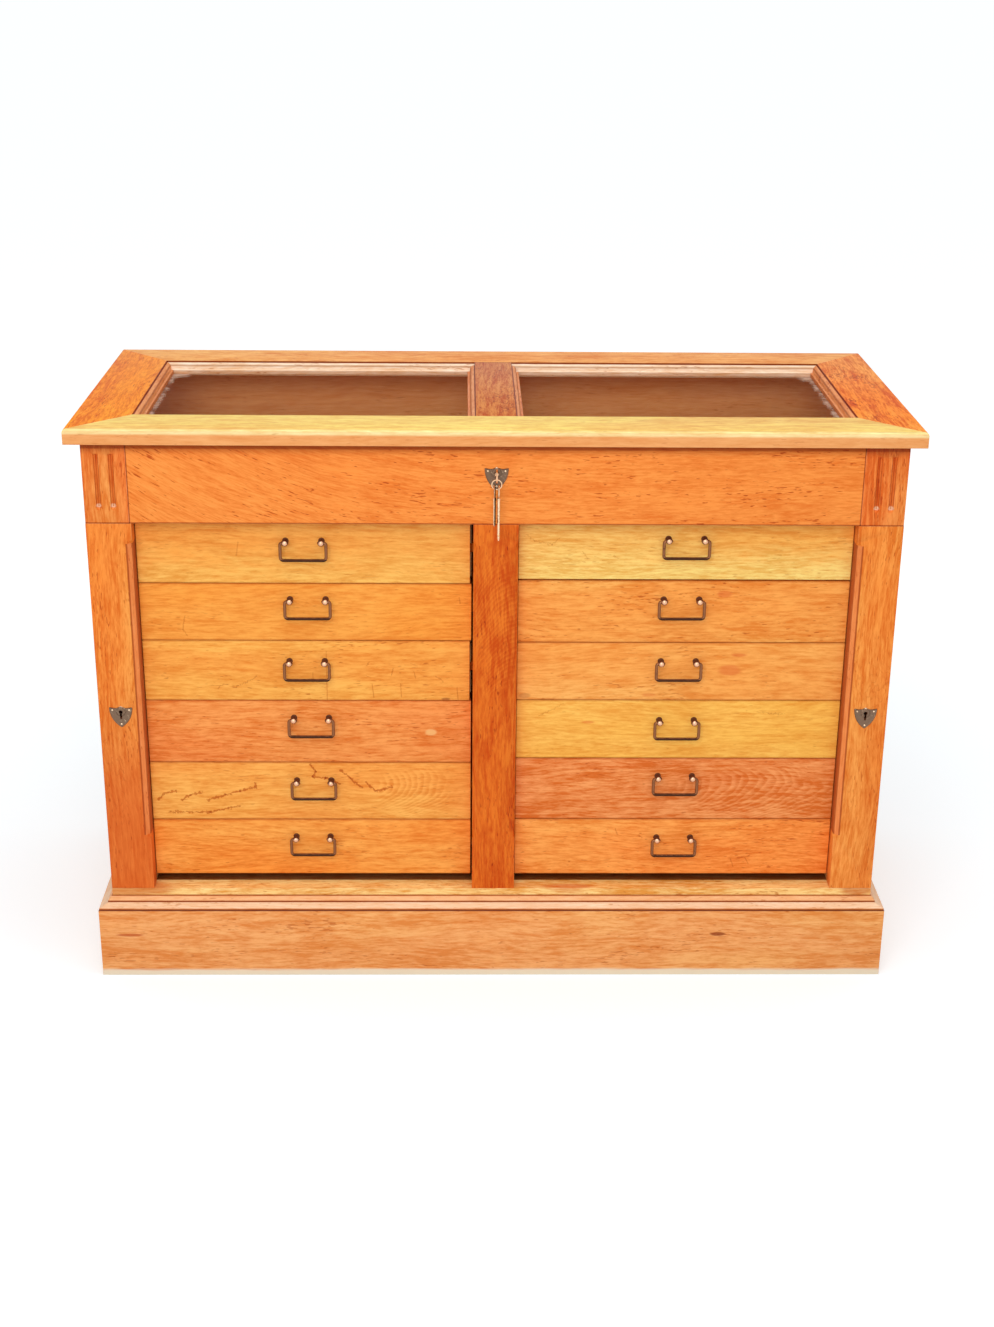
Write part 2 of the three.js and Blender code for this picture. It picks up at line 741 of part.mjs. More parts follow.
function drawerBox(hand, row) {
  const near = drawerInner(hand);
  const back = drawerFace + drawerFrontThickness;
  const foot = row.foot + drawerBoxFootInset;
  const top = row.top - drawerBoxTopInset;
  const [inner, outer] = [near + drawerWall, drawerOuter - drawerWall];
  const bottomFoot = foot + drawerBottomRise;
  const shell = block([near, back - overrun, foot], [drawerOuter, drawerEnd, top]);
  const hollow = block([inner, back, bottomFoot + drawerBottomThickness],
    [outer, drawerEnd - drawerWall, top + overrun]);
  const underside = block([inner, back, foot - overrun], [outer, drawerEnd + overrun, bottomFoot]);
  const grooveHalf = runnerHeight / 2 + runnerGap;
  const groove = (from, to) => block([from, back, row.middle - grooveHalf],
    [to, drawerEnd + overrun, row.middle + grooveHalf]);
  const body = join(chamferedFront(near, row), shell);
  return cut(body, hollow, underside, groove(drawerOuter - grooveDepth, drawerOuter + overrun),
    groove(near - overrun, near + grooveDepth));
}

// Ball post turned in one piece: rose against the front, stem and ball, bored across for the wire
function ballPost(x, y, z) {
  const neck = Math.sqrt(postBallRadius ** 2 - postStemRadius ** 2);
  const neckTurn = Math.acos(-neck / postBallRadius);
  const profile = [
    new THREE.Vector2(0, -postReach - overrun),
    new THREE.Vector2(postRoseRadius, -postReach - overrun),
    new THREE.Vector2(postRoseRadius, postRoseThickness - postReach),
    new THREE.Vector2(postStemRadius, postRoseThickness - postReach),
  ];
  for (let i = 0; i <= arcSteps; i += 1) {
    const turn = neckTurn * (1 - i / arcSteps);
    profile.push(new THREE.Vector2(i === arcSteps ? 0 : postBallRadius * Math.sin(turn),
      postBallRadius * Math.cos(turn)));
  }
  const turned = new THREE.LatheGeometry(profile, barSides).rotateZ(Math.PI);
  const reach = postBallRadius + overrun;
  const bore = bar(bailWireRadius + bailBoreGap, point(x - reach, y, z), point(x + reach, y, z), barSides);
  return cut(solid(turned.translate(x, y, z)), bore);
}

function drawer(hand, index) {
  const row = rows(hand)[index];
  const box = hand === "left" ? mirrored(drawerBox(hand, row)) : drawerBox(hand, row);
  const { x, y, z } = handlePlace(hand, row, index);
  const half = handlePostSpacing / 2;
  return join(box, ballPost(x - half, y, z), ballPost(x + half, y, z));
}

// Bail: a wire whose ends turn in through the ball posts, hanging from them
function bail(hand, index) {
  const { x, y, z } = handlePlace(hand, rows(hand)[index], index);
  const side = handleWidth / 2 - bailWireRadius;
  const foot = bailWireRadius - bailDrop;
  const end = handlePostSpacing / 2 - bailEndReach;
  const half = [
    point(end, 0, 0),
    ...bend(side - bailTopBend, -bailTopBend, bailTopBend, Math.PI / 2, 0, topBendSteps),
    ...bend(side - bailFootBend, foot + bailFootBend, bailFootBend, 0, -Math.PI / 2, bendSteps),
  ];
  const other = half.map((p) => point(-p.x, p.y, p.z)).reverse();
  return wire([...half, ...other], bailWireRadius, barSides).translate([x, y, z]);
}

// Shield-shaped escutcheon with a scalloped top, a raised boss and a keyhole
function escutcheon(x, height, faceY) {
  const top = height + keyBelowShieldTop;
  const half = shieldWidth / 2;
  const [pull, dip, farPull] = shieldLobeShares.map((share) => share * half);
  const [dipTop, cornerTop] = [top - shieldDip, top - shieldCornerDrop];
  const flank = top - shieldHeight * shieldFlankShare;
  const shape = new THREE.Shape();
  shape.moveTo(0, top);
  shape.quadraticCurveTo(pull, dipTop, dip, dipTop);
  shape.quadraticCurveTo(farPull, dipTop, half, cornerTop);
  shape.quadraticCurveTo(half, flank, 0, top - shieldHeight);
  shape.quadraticCurveTo(-half, flank, -half, cornerTop);
  shape.quadraticCurveTo(-farPull, dipTop, -dip, dipTop);
  shape.quadraticCurveTo(-pull, dipTop, 0, top);
  const plate = new THREE.ExtrudeGeometry(shape, {
    depth: shieldThickness,
    bevelEnabled: false,
    curveSegments: arcSteps,
  });
  plate.rotateX(Math.PI / 2);
  const back = faceY - glueGap;
  const boss = bar(bossRadius, point(x, back - shieldThickness - bossHeight, height),
    point(x, back - shieldThickness / 2, height), roundSides);
  const body = join(solid(plate.translate(x, back, 0)), boss);
  return cut(body, keyhole(x, height, back - shieldThickness - bossHeight - overrun, faceY + overrun));
}

// Lock case with the round space that the bit turns in
function lockCase([x0, z0], [x1, z1], keyX, keyHeight, frontY) {
  const backY = frontY + lockDepth;
  const body = block([x0, frontY, z0], [x1, backY, z1]);
  const space = bar(bitSpaceRadius, point(keyX, frontY + lockWall, keyHeight),
    point(keyX, backY - lockWall, keyHeight), roundSides);
  return cut(body, space, keyhole(keyX, keyHeight, frontY - overrun, frontY + lockDepth / 2));
}

const boltFoot = lidKeyHeight + bitSpaceRadius + lockWall;
const boltTop = caseTop - 2 * seatGap;

function lidLock() {
  const half = lockWidth / 2;
  const body = lockCase([-half, lidKeyHeight - lidLockFoot], [half, boltTop], 0, lidKeyHeight, lidLockFace);
  const slotHalf = boltWidth / 2 + seatGap;
  const slotDepth = boltThickness / 2 + seatGap;
  const slot = block([-slotHalf, boltY - slotDepth, boltFoot - seatGap],
    [slotHalf, boltY + slotDepth, boltTop + overrun]);
  return cut(body, slot);
}

function lidLockBolt() {
  return block([-boltWidth / 2, boltY - boltThickness / 2, boltFoot],
    [boltWidth / 2, boltY + boltThickness / 2, boltTop]);
}

function stileLock() {
  const half = stileLockWidth / 2;
  const foot = stileKeyHeight - stileLockHeight / 2;
  return lockCase([stileMiddle - half, foot], [stileMiddle + half, foot + stileLockHeight],
    stileMiddle, stileKeyHeight, caseFront + stileThickness - lockDepth);
}

// Key along +Y from the middle of its bow: a ring bow, a collar, a round shank and a bit that points down
function keyShape(length) {
  const bow = new THREE.TorusGeometry(bowRadius, bowBarRadius, barSides, roundSides);
  bow.rotateY(Math.PI / 2).scale(bowThickness / (2 * bowBarRadius), 1, 1);
  const neck = bowRadius;
  const tip = length - bowRadius - bowBarRadius;
  const shank = bar(shankRadius, point(0, neck, 0), point(0, tip, 0), barSides);
  const collarFrom = neck + bowBarRadius;
  const collar = bar(collarRadius, point(0, collarFrom, 0), point(0, collarFrom + collarLength, 0), barSides);
  const bitEnd = tip - keyNoseLength;
  const bit = block([-bitThickness / 2, bitEnd - bitHeight, -bitReach], [bitThickness / 2, bitEnd, 0]);
  return join(solid(bow), shank, collar, bit);
}

const lidKeyLength = lidLockFace + lockDepth - lockWall - seatGap - frontMost;

function lidKey() {
  return keyShape(lidKeyLength).translate([0, bowCentreY, lidKeyHeight]);
}

// The split ring hangs round the lowest bar of the lid key's bow, across it
const ringHangZ = lidKeyHeight - bowRadius;
const ringCentreZ = ringHangZ - (ringRadius - ringWireRadius - bowBarRadius - seatGap);

function keyRing() {
  const ring = new THREE.TorusGeometry(ringRadius, ringWireRadius, ringWireSides, fineSides);
  ring.rotateX(Math.PI / 2);
  return solid(ring.translate(0, bowCentreY, ringCentreZ));
}

// Spare keys hang side by side from the foot of the ring, bow up and bit to the front
function spareKey(length, sideSign) {
  const x = (sideSign * spareKeySpacing) / 2;
  const reach = Math.abs(x) + bowThickness / 2;
  const inner = ringRadius - ringWireRadius;
  const wireTop = ringCentreZ - Math.sqrt(inner ** 2 - reach ** 2);
  const bowCentreZ = wireTop + seatGap - (bowRadius - bowBarRadius);
  return keyShape(length).rotate([-quarterTurn, 0, 0]).translate([x, bowCentreY, bowCentreZ]);
}

// Scene graph: everything stands on the floor, with the middle of the outline over the origin
const cabinet = new THREE.Group();
cabinet.position.y = -(frontMost + backMost) / 2;

function place(name, piece, material) {
  const mesh = new THREE.Mesh(geometryOf(piece), material);
  mesh.name = name;
  cabinet.add(mesh);
}

place("plinth_front", plinthFront(), oak());
place("plinth_right", plinthReturn(), oak());
place("plinth_left", mirrored(plinthReturn()), oak());
place("base_board", baseBoard(), oak());
place("side_right", side("right"), oak());
place("side_left", mirrored(side("left")), oak());
place("back_panel", backPanel(), innerOak());
place("centre_upright", centreUpright(), oak());
place("display_floor", displayFloor(), innerOak());
place("frieze", frieze(), oak());
place("capital_block_right", capitalBlock(), oak());
place("capital_block_left", mirrored(capitalBlock()), oak());
place("locking_stile_right", lockingStile(), oak());
place("locking_stile_left", mirrored(lockingStile()), oak());

place("lid_front_rail", lidFrontRail(), paleOak());
place("lid_back_rail", lidBackRail(), paleOak());
place("lid_right_rail", lidSideRail(), oak());
place("lid_left_rail", mirrored(lidSideRail()), oak());
place("lid_mullion", lidMullion(), oak());
place("lid_glass_right", glassPane(), clearGlass());
place("lid_glass_left", mirrored(glassPane()), clearGlass());
for (const [hand, x] of [["left", -hingeX], ["right", hingeX]]) {
  place(`lid_hinge_case_leaf_${hand}`, caseLeaf(x), brass());
  place(`lid_hinge_lid_leaf_${hand}`, lidLeaf(x), brass());
}

for (const hand of ["left", "right"]) {
  frontHeightShares[hand].forEach((_, index) => {
    place(`drawer_${hand}_${index + 1}`, drawer(hand, index), paleOak());
    place(`drawer_handle_${hand}_${index + 1}`, bail(hand, index), bronze());
  });
}

place("escutcheon_lid", escutcheon(0, lidKeyHeight, friezeFace), brass());
place("escutcheon_right", escutcheon(stileMiddle, stileKeyHeight, caseFront), brass());
place("escutcheon_left", escutcheon(-stileMiddle, stileKeyHeight, caseFront), brass());
place("lid_lock", lidLock(), steel());
place("lid_lock_bolt", lidLockBolt(), steel());
place("stile_lock_right", stileLock(), steel());
place("stile_lock_left", mirrored(stileLock()), steel());
place("lid_key", lidKey(), steel());
place("key_ring", keyRing(), steel());
place("spare_key_long", spareKey(longKeyLength, 1), steel());
place("spare_key_short", spareKey(shortKeyLength, -1), steel());

export default cabinet;
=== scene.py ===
"""Looks of the haberdashery cabinet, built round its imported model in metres, with +Z up and the front facing -Y."""

from __future__ import annotations

import json  # noqa: E402
import logging  # noqa: E402
import math  # noqa: E402
from dataclasses import dataclass, field, replace  # noqa: E402
from enum import Enum  # noqa: E402

import bmesh  # noqa: E402
import bpy  # noqa: E402
import numpy as np  # noqa: E402
from mathutils import Matrix, Vector  # noqa: E402

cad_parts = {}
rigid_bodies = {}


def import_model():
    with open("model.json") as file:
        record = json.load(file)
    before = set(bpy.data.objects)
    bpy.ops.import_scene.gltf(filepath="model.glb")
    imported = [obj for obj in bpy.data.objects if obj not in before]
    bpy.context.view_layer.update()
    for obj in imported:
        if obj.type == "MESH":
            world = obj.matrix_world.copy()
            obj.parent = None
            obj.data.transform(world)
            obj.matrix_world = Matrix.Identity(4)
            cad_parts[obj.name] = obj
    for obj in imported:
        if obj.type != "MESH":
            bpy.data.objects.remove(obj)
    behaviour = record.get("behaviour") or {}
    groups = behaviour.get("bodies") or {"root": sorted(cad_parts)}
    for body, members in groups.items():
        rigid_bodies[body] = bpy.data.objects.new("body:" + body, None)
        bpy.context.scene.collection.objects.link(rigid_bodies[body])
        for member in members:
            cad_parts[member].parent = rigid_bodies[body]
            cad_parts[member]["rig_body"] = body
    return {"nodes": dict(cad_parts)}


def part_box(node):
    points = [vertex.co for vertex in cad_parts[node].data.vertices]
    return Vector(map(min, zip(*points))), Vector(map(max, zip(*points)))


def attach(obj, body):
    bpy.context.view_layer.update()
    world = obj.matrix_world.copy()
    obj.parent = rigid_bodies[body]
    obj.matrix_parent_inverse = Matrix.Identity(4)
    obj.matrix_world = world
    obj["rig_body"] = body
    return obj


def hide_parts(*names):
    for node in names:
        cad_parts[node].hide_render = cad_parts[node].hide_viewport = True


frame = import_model()
log = logging.getLogger("cabinet")

MM = 0.001
WELD = 1e-6
HANDS = ("left", "right")
ROWS = range(1, 7)

Point = tuple[float, float, float]
Rgb = tuple[float, float, float]


# Shader maths


class Value:
    """A number that a shader works out, on which Python's arithmetic adds Math nodes."""

    def __init__(self, shader: Shader, socket: bpy.types.NodeSocket) -> None:
        """Wrap one output socket.

        Args:
            shader: The shader that the socket belongs to.
            socket: The output socket.
        """
        self.shader = shader
        self.socket = socket

    def maths(self, operation: str, *operands: Value | float) -> Value:
        """Work out one Math node.

        Args:
            operation: The Math node's operation.
            *operands: The values of its sockets, in order.

        Returns:
            The node's result.
        """
        inputs = dict(enumerate(operands))
        return self.shader.value("ShaderNodeMath", {"operation": operation}, inputs)

    def __add__(self, other: Value | float) -> Value:
        """Add."""
        return self.maths("ADD", self, other)

    def __radd__(self, other: float) -> Value:
        """Add, reflected."""
        return self.maths("ADD", other, self)

    def __sub__(self, other: Value | float) -> Value:
        """Subtract."""
        return self.maths("SUBTRACT", self, other)

    def __rsub__(self, other: float) -> Value:
        """Subtract, reflected."""
        return self.maths("SUBTRACT", other, self)

    def __mul__(self, other: Value | float) -> Value:
        """Multiply."""
        return self.maths("MULTIPLY", self, other)

    def __rmul__(self, other: float) -> Value:
        """Multiply, reflected."""
        return self.maths("MULTIPLY", other, self)

    def __truediv__(self, other: Value | float) -> Value:
        """Divide."""
        return self.maths("DIVIDE", self, other)

    def __rtruediv__(self, other: float) -> Value:
        """Divide, reflected."""
        return self.maths("DIVIDE", other, self)

    def __abs__(self) -> Value:
        """Take the distance from zero."""
        return self.maths("ABSOLUTE", self)

    def __gt__(self, other: Value | float) -> Value:
        """Give one above the other value and zero elsewhere."""
        return self.maths("GREATER_THAN", self, other)

    def __lt__(self, other: Value | float) -> Value:
        """Give one below the other value and zero elsewhere."""
        return self.maths("LESS_THAN", self, other)

    def __mod__(self, other: float) -> Value:
        """Take what is left over by whole steps."""
        return self.maths("FLOORED_MODULO", self, other)

    def root(self) -> Value:
        """Take the square root."""
        return self.maths("SQRT", self)

    def at_most(self, other: Value | float) -> Value:
        """Take the smaller value."""
        return self.maths("MINIMUM", self, other)

    def at_least(self, other: Value | float) -> Value:
        """Take the larger value."""
        return self.maths("MAXIMUM", self, other)

    def rising(self, low: float, high: float) -> Value:
        """Go smoothly from zero at low to one at high.

        Args:
            low: Where the rise starts.
            high: Where the rise ends.

        Returns:
            The smooth step.
        """
        settings = {"interpolation_type": "SMOOTHSTEP"}
        return self.shader.value("ShaderNodeMapRange", settings, {"Value": self, "From Min": low, "From Max": high})


class Shader:
    """One material's nodes."""

    def __init__(self, name: str) -> None:
        """Start an empty material.

        Args:
            name: The material's name.
        """
        self.material = bpy.data.materials.new(name)
        self.material.use_nodes = True
        self.tree = self.material.node_tree
        self.tree.nodes.clear()
        self.output = self.node("ShaderNodeOutputMaterial", {}, {})

    def node(self, kind: str, settings: dict[str, object], inputs: dict[str | int, object]) -> bpy.types.Node:
        """Add one node, its settings first and its sockets after.

        Args:
            kind: The node's type.
            settings: Its properties by name; stops is a ramp's list of place and colour.
            inputs: The values or links of its sockets, by name or number.

        Returns:
            The node.
        """
        made = self.tree.nodes.new(kind)
        for key, setting in settings.items():
            if key == "stops":
                while len(made.color_ramp.elements) < len(setting):
                    made.color_ramp.elements.new(1.0)
                for element, (place, colour) in zip(made.color_ramp.elements, setting):
                    element.position = place
                    element.color = (*colour, 1.0)
            else:
                setattr(made, key, setting)
        for key, given in inputs.items():
            socket = made.inputs[key]
            if isinstance(given, Value):
                self.tree.links.new(given.socket, socket)
            elif isinstance(given, bpy.types.NodeSocket):
                self.tree.links.new(given, socket)
            elif isinstance(given, tuple) and len(given) == 3 and socket.type == "RGBA":
                socket.default_value = (*given, 1.0)
            else:
                socket.default_value = given
        return made

    def value(self, kind: str, settings: dict[str, object], inputs: dict[str | int, object]) -> Value:
        """Add one node and take its first output as a number.

        Args:
            kind: The node's type.
            settings: Its properties.
            inputs: Its sockets' values.

        Returns:
            The first output.
        """
        return Value(self, self.node(kind, settings, inputs).outputs[0])

    def place(self) -> tuple[Value, Value, Value]:
        """Read the place on the object, in metres, as three numbers."""
        where = self.node("ShaderNodeTexCoord", {}, {}).outputs["Object"]
        split = self.node("ShaderNodeSeparateXYZ", {}, {0: where})
        return tuple(Value(self, socket) for socket in split.outputs)

    def noise(self, where: tuple[object, object, object], detail: float = 2.0, roughness: float = 0.5) -> Value:
        """Work out smooth noise.

        Args:
            where: The three coordinates, already scaled.
            detail: How many finer layers are added.
            roughness: How strong the finer layers are.

        Returns:
            A number about one half.
        """
        spot = self.node("ShaderNodeCombineXYZ", {}, dict(enumerate(where))).outputs[0]
        inputs = {"Vector": spot, "Scale": 1.0, "Detail": detail, "Roughness": roughness}
        return self.value("ShaderNodeTexNoise", {}, inputs)

    def mixed(self, share: Value | float, first: object, second: object, blend: str = "MIX") -> bpy.types.NodeSocket:
        """Blend two colours.

        Args:
            share: How much of the second colour.
            first: The first colour or its socket.
            second: The second colour or its socket.
            blend: The way of blending.

        Returns:
            The blended colour's socket.
        """
        settings = {"data_type": "RGBA", "blend_type": blend, "clamp_factor": True}
        return self.node("ShaderNodeMix", settings, {0: share, 6: first, 7: second}).outputs[2]

    def relief(self, height: Value, depth: float, strength: float = 1.0) -> bpy.types.NodeSocket:
        """Turn a height into a tilted normal.

        Args:
            height: The height, from zero to one.
            depth: What a height of one stands for, in metres.
            strength: How much of it shows.

        Returns:
            The normal's socket.
        """
        return self.node("ShaderNodeBump", {}, {"Strength": strength, "Distance": depth, "Height": height}).outputs[0]

    def surface(self, inputs: dict[str | int, object]) -> bpy.types.Node:
        """Add the main shader and join it to the output.

        Args:
            inputs: The shader's sockets.

        Returns:
            The shader node.
        """
        made = self.node("ShaderNodeBsdfPrincipled", {}, inputs)
        self.tree.links.new(made.outputs[0], self.output.inputs["Surface"])
        return made


def tint(red: float, green: float, blue: float) -> Rgb:
    """Turn a colour as it looks on a screen, 0 to 255, into light.

    Args:
        red: The red share.
        green: The green share.
        blue: The blue share.

    Returns:
        The same colour in linear light, 0 to 1.
    """
    shares = np.array([red, green, blue]) / 255
    light = np.where(shares <= 0.04045, shares / 12.92, ((shares + 0.055) / 1.055) ** 2.4)
    return tuple(float(share) for share in light)


# Finishes


class Grain(Enum):
    """Which way the fibres of a board run: the places of along, across and depth among x, y and z."""

    ALONG_X = (0, 2, 1)
    ALONG_Y = (1, 0, 2)
    ALONG_Z = (2, 0, 1)


PALE_WOOD = (1.04, 1.13, 1.3)
DARK_WOOD = (0.86, 0.66, 0.48)
WARM_WOOD = (0.98, 0.82, 0.64)
# Pale tone of worn arrises, which also serves as a painted highlight on them.
CREAM = tint(252, 206, 166)
FLECK = (0.62, 0.36, 0.2)
# Factor for painted shade in gaps, hollows and along edges, and for the dark of real joints.
SHADE_AND_GRIME = (0.5, 0.3, 0.18)
# Factor for deeper painted shade in the plinth's quirk.
DEEP_SHADE = (0.3, 0.17, 0.13)
FAR = 9.0


@dataclass(frozen=True)
class Region:
    """A box on a board in which it has another colour, such as a painted highlight on a moulded band or painted shade
    on a chamfer.

    Attributes:
        low: Its lowest corner, in metres.
        high: Its highest corner, in metres.
        colour: The colour there, or a factor of the board's own colour.
        strength: How much it covers.
        blur: How softly it ends, in metres.
        factor: Whether the colour is a factor.
    """

    low: Point
    high: Point
    colour: Rgb
    strength: float = 1.0
    blur: float = 0.4 * MM
    factor: bool = False

    def cover(self, place: tuple[Value, Value, Value]) -> Value | float:
        """Work out how far the region covers a place: the product of a smooth step at each of its limits."""
        share: Value | float = self.strength
        for where, low, high in zip(place, self.low, self.high):
            if low > -FAR:
                share = share * where.rising(low - self.blur, low + self.blur)
            if high < FAR:
                share = share * (1.0 - where.rising(high - self.blur, high + self.blur))
        return share


@dataclass(frozen=True)
class Spot:
    """A round or oval mark on a board, such as a knot, a worn place or a painted highlight.

    Attributes:
        centre: Its middle, in metres.
        reach: Its half sizes, in metres.
        colour: Its colour.
        strength: How much it covers.
    """

    centre: Point
    reach: Point
    colour: Rgb
    strength: float = 0.7


@dataclass(frozen=True)
class Stroke:
    """A thin mark on the front of a board, such as a scratch, a crack or one streak of ray figure.

    Attributes:
        start: Where it starts, along X and Z, in metres.
        end: Where it ends.
        half: Half its width, in metres.
        strength: How much it covers.
    """

    start: tuple[float, float]
    end: tuple[float, float]
    half: float = 1.1 * MM
    strength: float = 0.8


@dataclass(frozen=True)
class Arches:
    """Stacked arches of year rings on a flat-cut board.

    Attributes:
        centre: The place where they show most, along and across the fibres, in metres.
        reach: How far they show from there, in metres.
        pitch: The distance between two arches along the fibres, in metres.
        curve: How fast they fall off across the fibres, per metre.
        axis: The arches' middle line across the fibres, in metres.
        strength: How strongly they show.
    """

    centre: tuple[float, float]
    reach: tuple[float, float]
    pitch: float
    curve: float
    axis: float
    strength: float = 0.5


@dataclass(frozen=True)
class Panelled:
    """A framed board whose rails have their fibres across those of the stiles.

    Attributes:
        across: The axis that the rails run along.
        middle: The middle of the opening along that axis and along Z, in metres.
        half: Half the opening's size along both, in metres.
    """

    across: int
    middle: tuple[float, float]
    half: tuple[float, float]


@dataclass
class Fibres:
    """What a board's shader knows about the fibres at a place.

    Attributes:
        shader: The board's shader.
        place: The place, in metres.
        way: The place along, across and into the board, which follows the bends of the fibres, in metres.
        offset: Which part of the tree the board shows, in metres.
        joint: One on the joints of a framed board.
    """

    shader: Shader
    place: tuple[Value, Value, Value]
    way: tuple[Value, Value, Value]
    offset: Point
    joint: Value | None = None

    def noise(self, along: float, across: float, detail: float = 2.0, roughness: float = 0.5) -> Value:
        """Work out noise that is stretched along the fibres.

        Args:
            along: Its scale along them, per metre.
            across: Its scale across them, per metre.
            detail: How many finer layers are added.
            roughness: How strong they are.

        Returns:
            A number about one half.
        """
        scales = (along, across, across)
        where = tuple((w + o) * s for w, o, s in zip(self.way, self.offset, scales))
        return self.shader.noise(where, detail, roughness)


@dataclass(frozen=True)
class Oak:
    """Oiled oak, by the board.

    Attributes:
        base: The board's colour as it looks from a distance.
        contrast: How far pale and dark wood lie apart.
        grain: Which way the fibres run.
        seed: Which part of the tree the board shows.
        figure: How strongly the year rings show.
        rings: Year rings per metre.
        heart: How far the heart of the tree lies from the board, in metres.
        slope: How far the fibres climb per metre.
        bend: How fast that slope grows towards the left end.
        pores: How many short dark pores show.
        rays: How strongly wandering brown ray figure shows.
        patch: The colour of large soft patches.
        patches: How strongly they show.
        warmth: How strongly redder clouds show.
        fade: How much paler the foot of the board is.
        edge: The middle and half size across the board, for the painted shade along its edges, in metres.
        regions: Places with another colour.
        spots: Single round marks.
        strokes: Single thin marks.
        arches: Stacked arches.
        panelled: The layout of a framed board.
        sheen: The roughness of the oiled surface.
        gleam: How much it reflects.
    """

    base: Rgb
    contrast: float = 1.0
    grain: Grain = Grain.ALONG_X
    seed: int = 0
    figure: float = 0.25
    rings: float = 95.0
    heart: float = 0.09
    slope: float = 0.0
    bend: float = 0.0
    pores: float = 0.5
    rays: float = 0.0
    patch: Rgb = tint(252, 190, 96)
    patches: float = 0.35
    warmth: float = 0.5
    fade: float = 0.0
    edge: tuple[float, float] | None = None
    regions: tuple[Region, ...] = ()
    spots: tuple[Spot, ...] = ()
    strokes: tuple[Stroke, ...] = ()
    arches: Arches | None = None
    panelled: Panelled | None = None
    sheen: float = 0.46
    gleam: float = 0.12

    def worn(self) -> Oak:
        """Give the same board with its arrises worn pale, which also stands in as a painted highlight on them."""
        paler = tuple(0.7 * a + 0.3 * b for a, b in zip(self.base, CREAM))
        return replace(self, base=paler, pores=0.2 * self.pores, fade=0.0, edge=None, strokes=(), arches=None)

    def paleness(self, factor: Rgb, share: float = 1.0) -> Rgb:
        """Bring a colour factor nearer to one, by the contrast and a share."""
        return tuple(1 + self.contrast * share * (f - 1) for f in factor)

    def fibres(self, shader: Shader) -> Fibres:
        """Find the way along, across and into the board, bent by two sizes of smooth noise."""
        place = shader.place()
        rng = np.random.default_rng(self.seed + 11)
        offset = tuple(float(v) for v in rng.uniform(1.0, 9.0, 3))
        along, across, depth = (place[i] for i in self.grain.value)
        joint: Value | None = None
        if self.panelled:
            side, up = place[self.panelled.across], place[2]
            beyond_side = abs(side - self.panelled.middle[0]) - self.panelled.half[0]
            beyond_up = abs(up - self.panelled.middle[1]) - self.panelled.half[1]
            rail = (beyond_up > 0.0) * (beyond_side < 0.0)
            along, across = up + rail * (side - up), side + rail * (up - side)
            joint = (abs(beyond_side) < 0.0004) * (beyond_up > 0.0)
            depth = depth + rail * 3.3
        if self.slope:
            across = across - along * self.slope
        if self.bend:
            left = along.at_most(0.0)
            across = across - left * left * self.bend
        straight = Fibres(shader, place, (along, across, depth), offset)
        sweep = straight.noise(1.9, 6.0, 2.0) - 0.5
        ripple = straight.noise(9.0, 26.0, 2.0) - 0.5
        bent = across + sweep * 0.05 + ripple * 0.008
        return Fibres(shader, place, (along, bent, depth), offset, joint)

    def year(self, fibres: Fibres) -> Value:
        """Work out the year rings: whole steps of the distance from the tree's heart line, which leans along the
        board, so a flat cut shows arches and a far cut straight lines. They show in some places and fade in others.

        Args:
            fibres: The board's fibres.

        Returns:
            From zero in pale wood to the figure's strength in dark wood.
        """
        rng = np.random.default_rng(self.seed + 23)
        lean, off = float(rng.uniform(-0.09, 0.09)), float(rng.uniform(-0.03, 0.03))
        along, across, depth = fibres.way
        drift, reach = across - off, depth - self.heart + along * lean
        uneven = fibres.noise(3.0, 40.0, 3.0)
        growth = (drift * drift + reach * reach).root() * self.rings + uneven * 2.6
        step = growth % 1.0
        ring = step.rising(0.0, 0.55) * (1.0 - step.rising(0.8, 1.0))
        return ring * fibres.noise(2.5, 12.0, 1.0).rising(0.4, 0.62) * self.figure

    def marks(self, fibres: Fibres, colour: bpy.types.NodeSocket, streak: Value) -> bpy.types.NodeSocket:
        """Lay the single marks over the wood.

        Args:
            fibres: The board's fibres.
            colour: The wood's colour.
            streak: The streaks, which fray the marks.

        Returns:
            The colour with its marks.
        """
        shader, place = fibres.shader, fibres.place
        for spot in self.spots:
            gaps = [(place[i] - spot.centre[i]) / spot.reach[i] for i in range(3)]
            gap = (gaps[0] * gaps[0] + gaps[1] * gaps[1] + gaps[2] * gaps[2]).root() + (streak - 0.5) * 0.6
            colour = shader.mixed((1.0 - gap.rising(0.55, 1.0)) * spot.strength, colour, spot.colour)
        if self.strokes:
            fray = tuple(p * 190.0 for p in place)
            wander = (shader.noise(fray, 2.0, 0.6) - 0.5) * 0.012
            crumble = shader.noise(tuple(p * 330.0 for p in place), 1.0)
        for stroke in self.strokes:
            dx, dz = stroke.end[0] - stroke.start[0], stroke.end[1] - stroke.start[1]
            x, z = place[0] - stroke.start[0], place[2] - stroke.start[1] + wander
            share = ((x * dx + z * dz) / (dx * dx + dz * dz)).at_least(0.0).at_most(1.0)
            x, z = x - share * dx, z - share * dz
            gap = (x * x + z * z).root() / stroke.half + (crumble - 0.5) * 1.6
            cover = (1.0 - gap.rising(0.5, 1.4)) * stroke.strength
            colour = shader.mixed(cover, colour, FLECK, "MULTIPLY")
        return colour

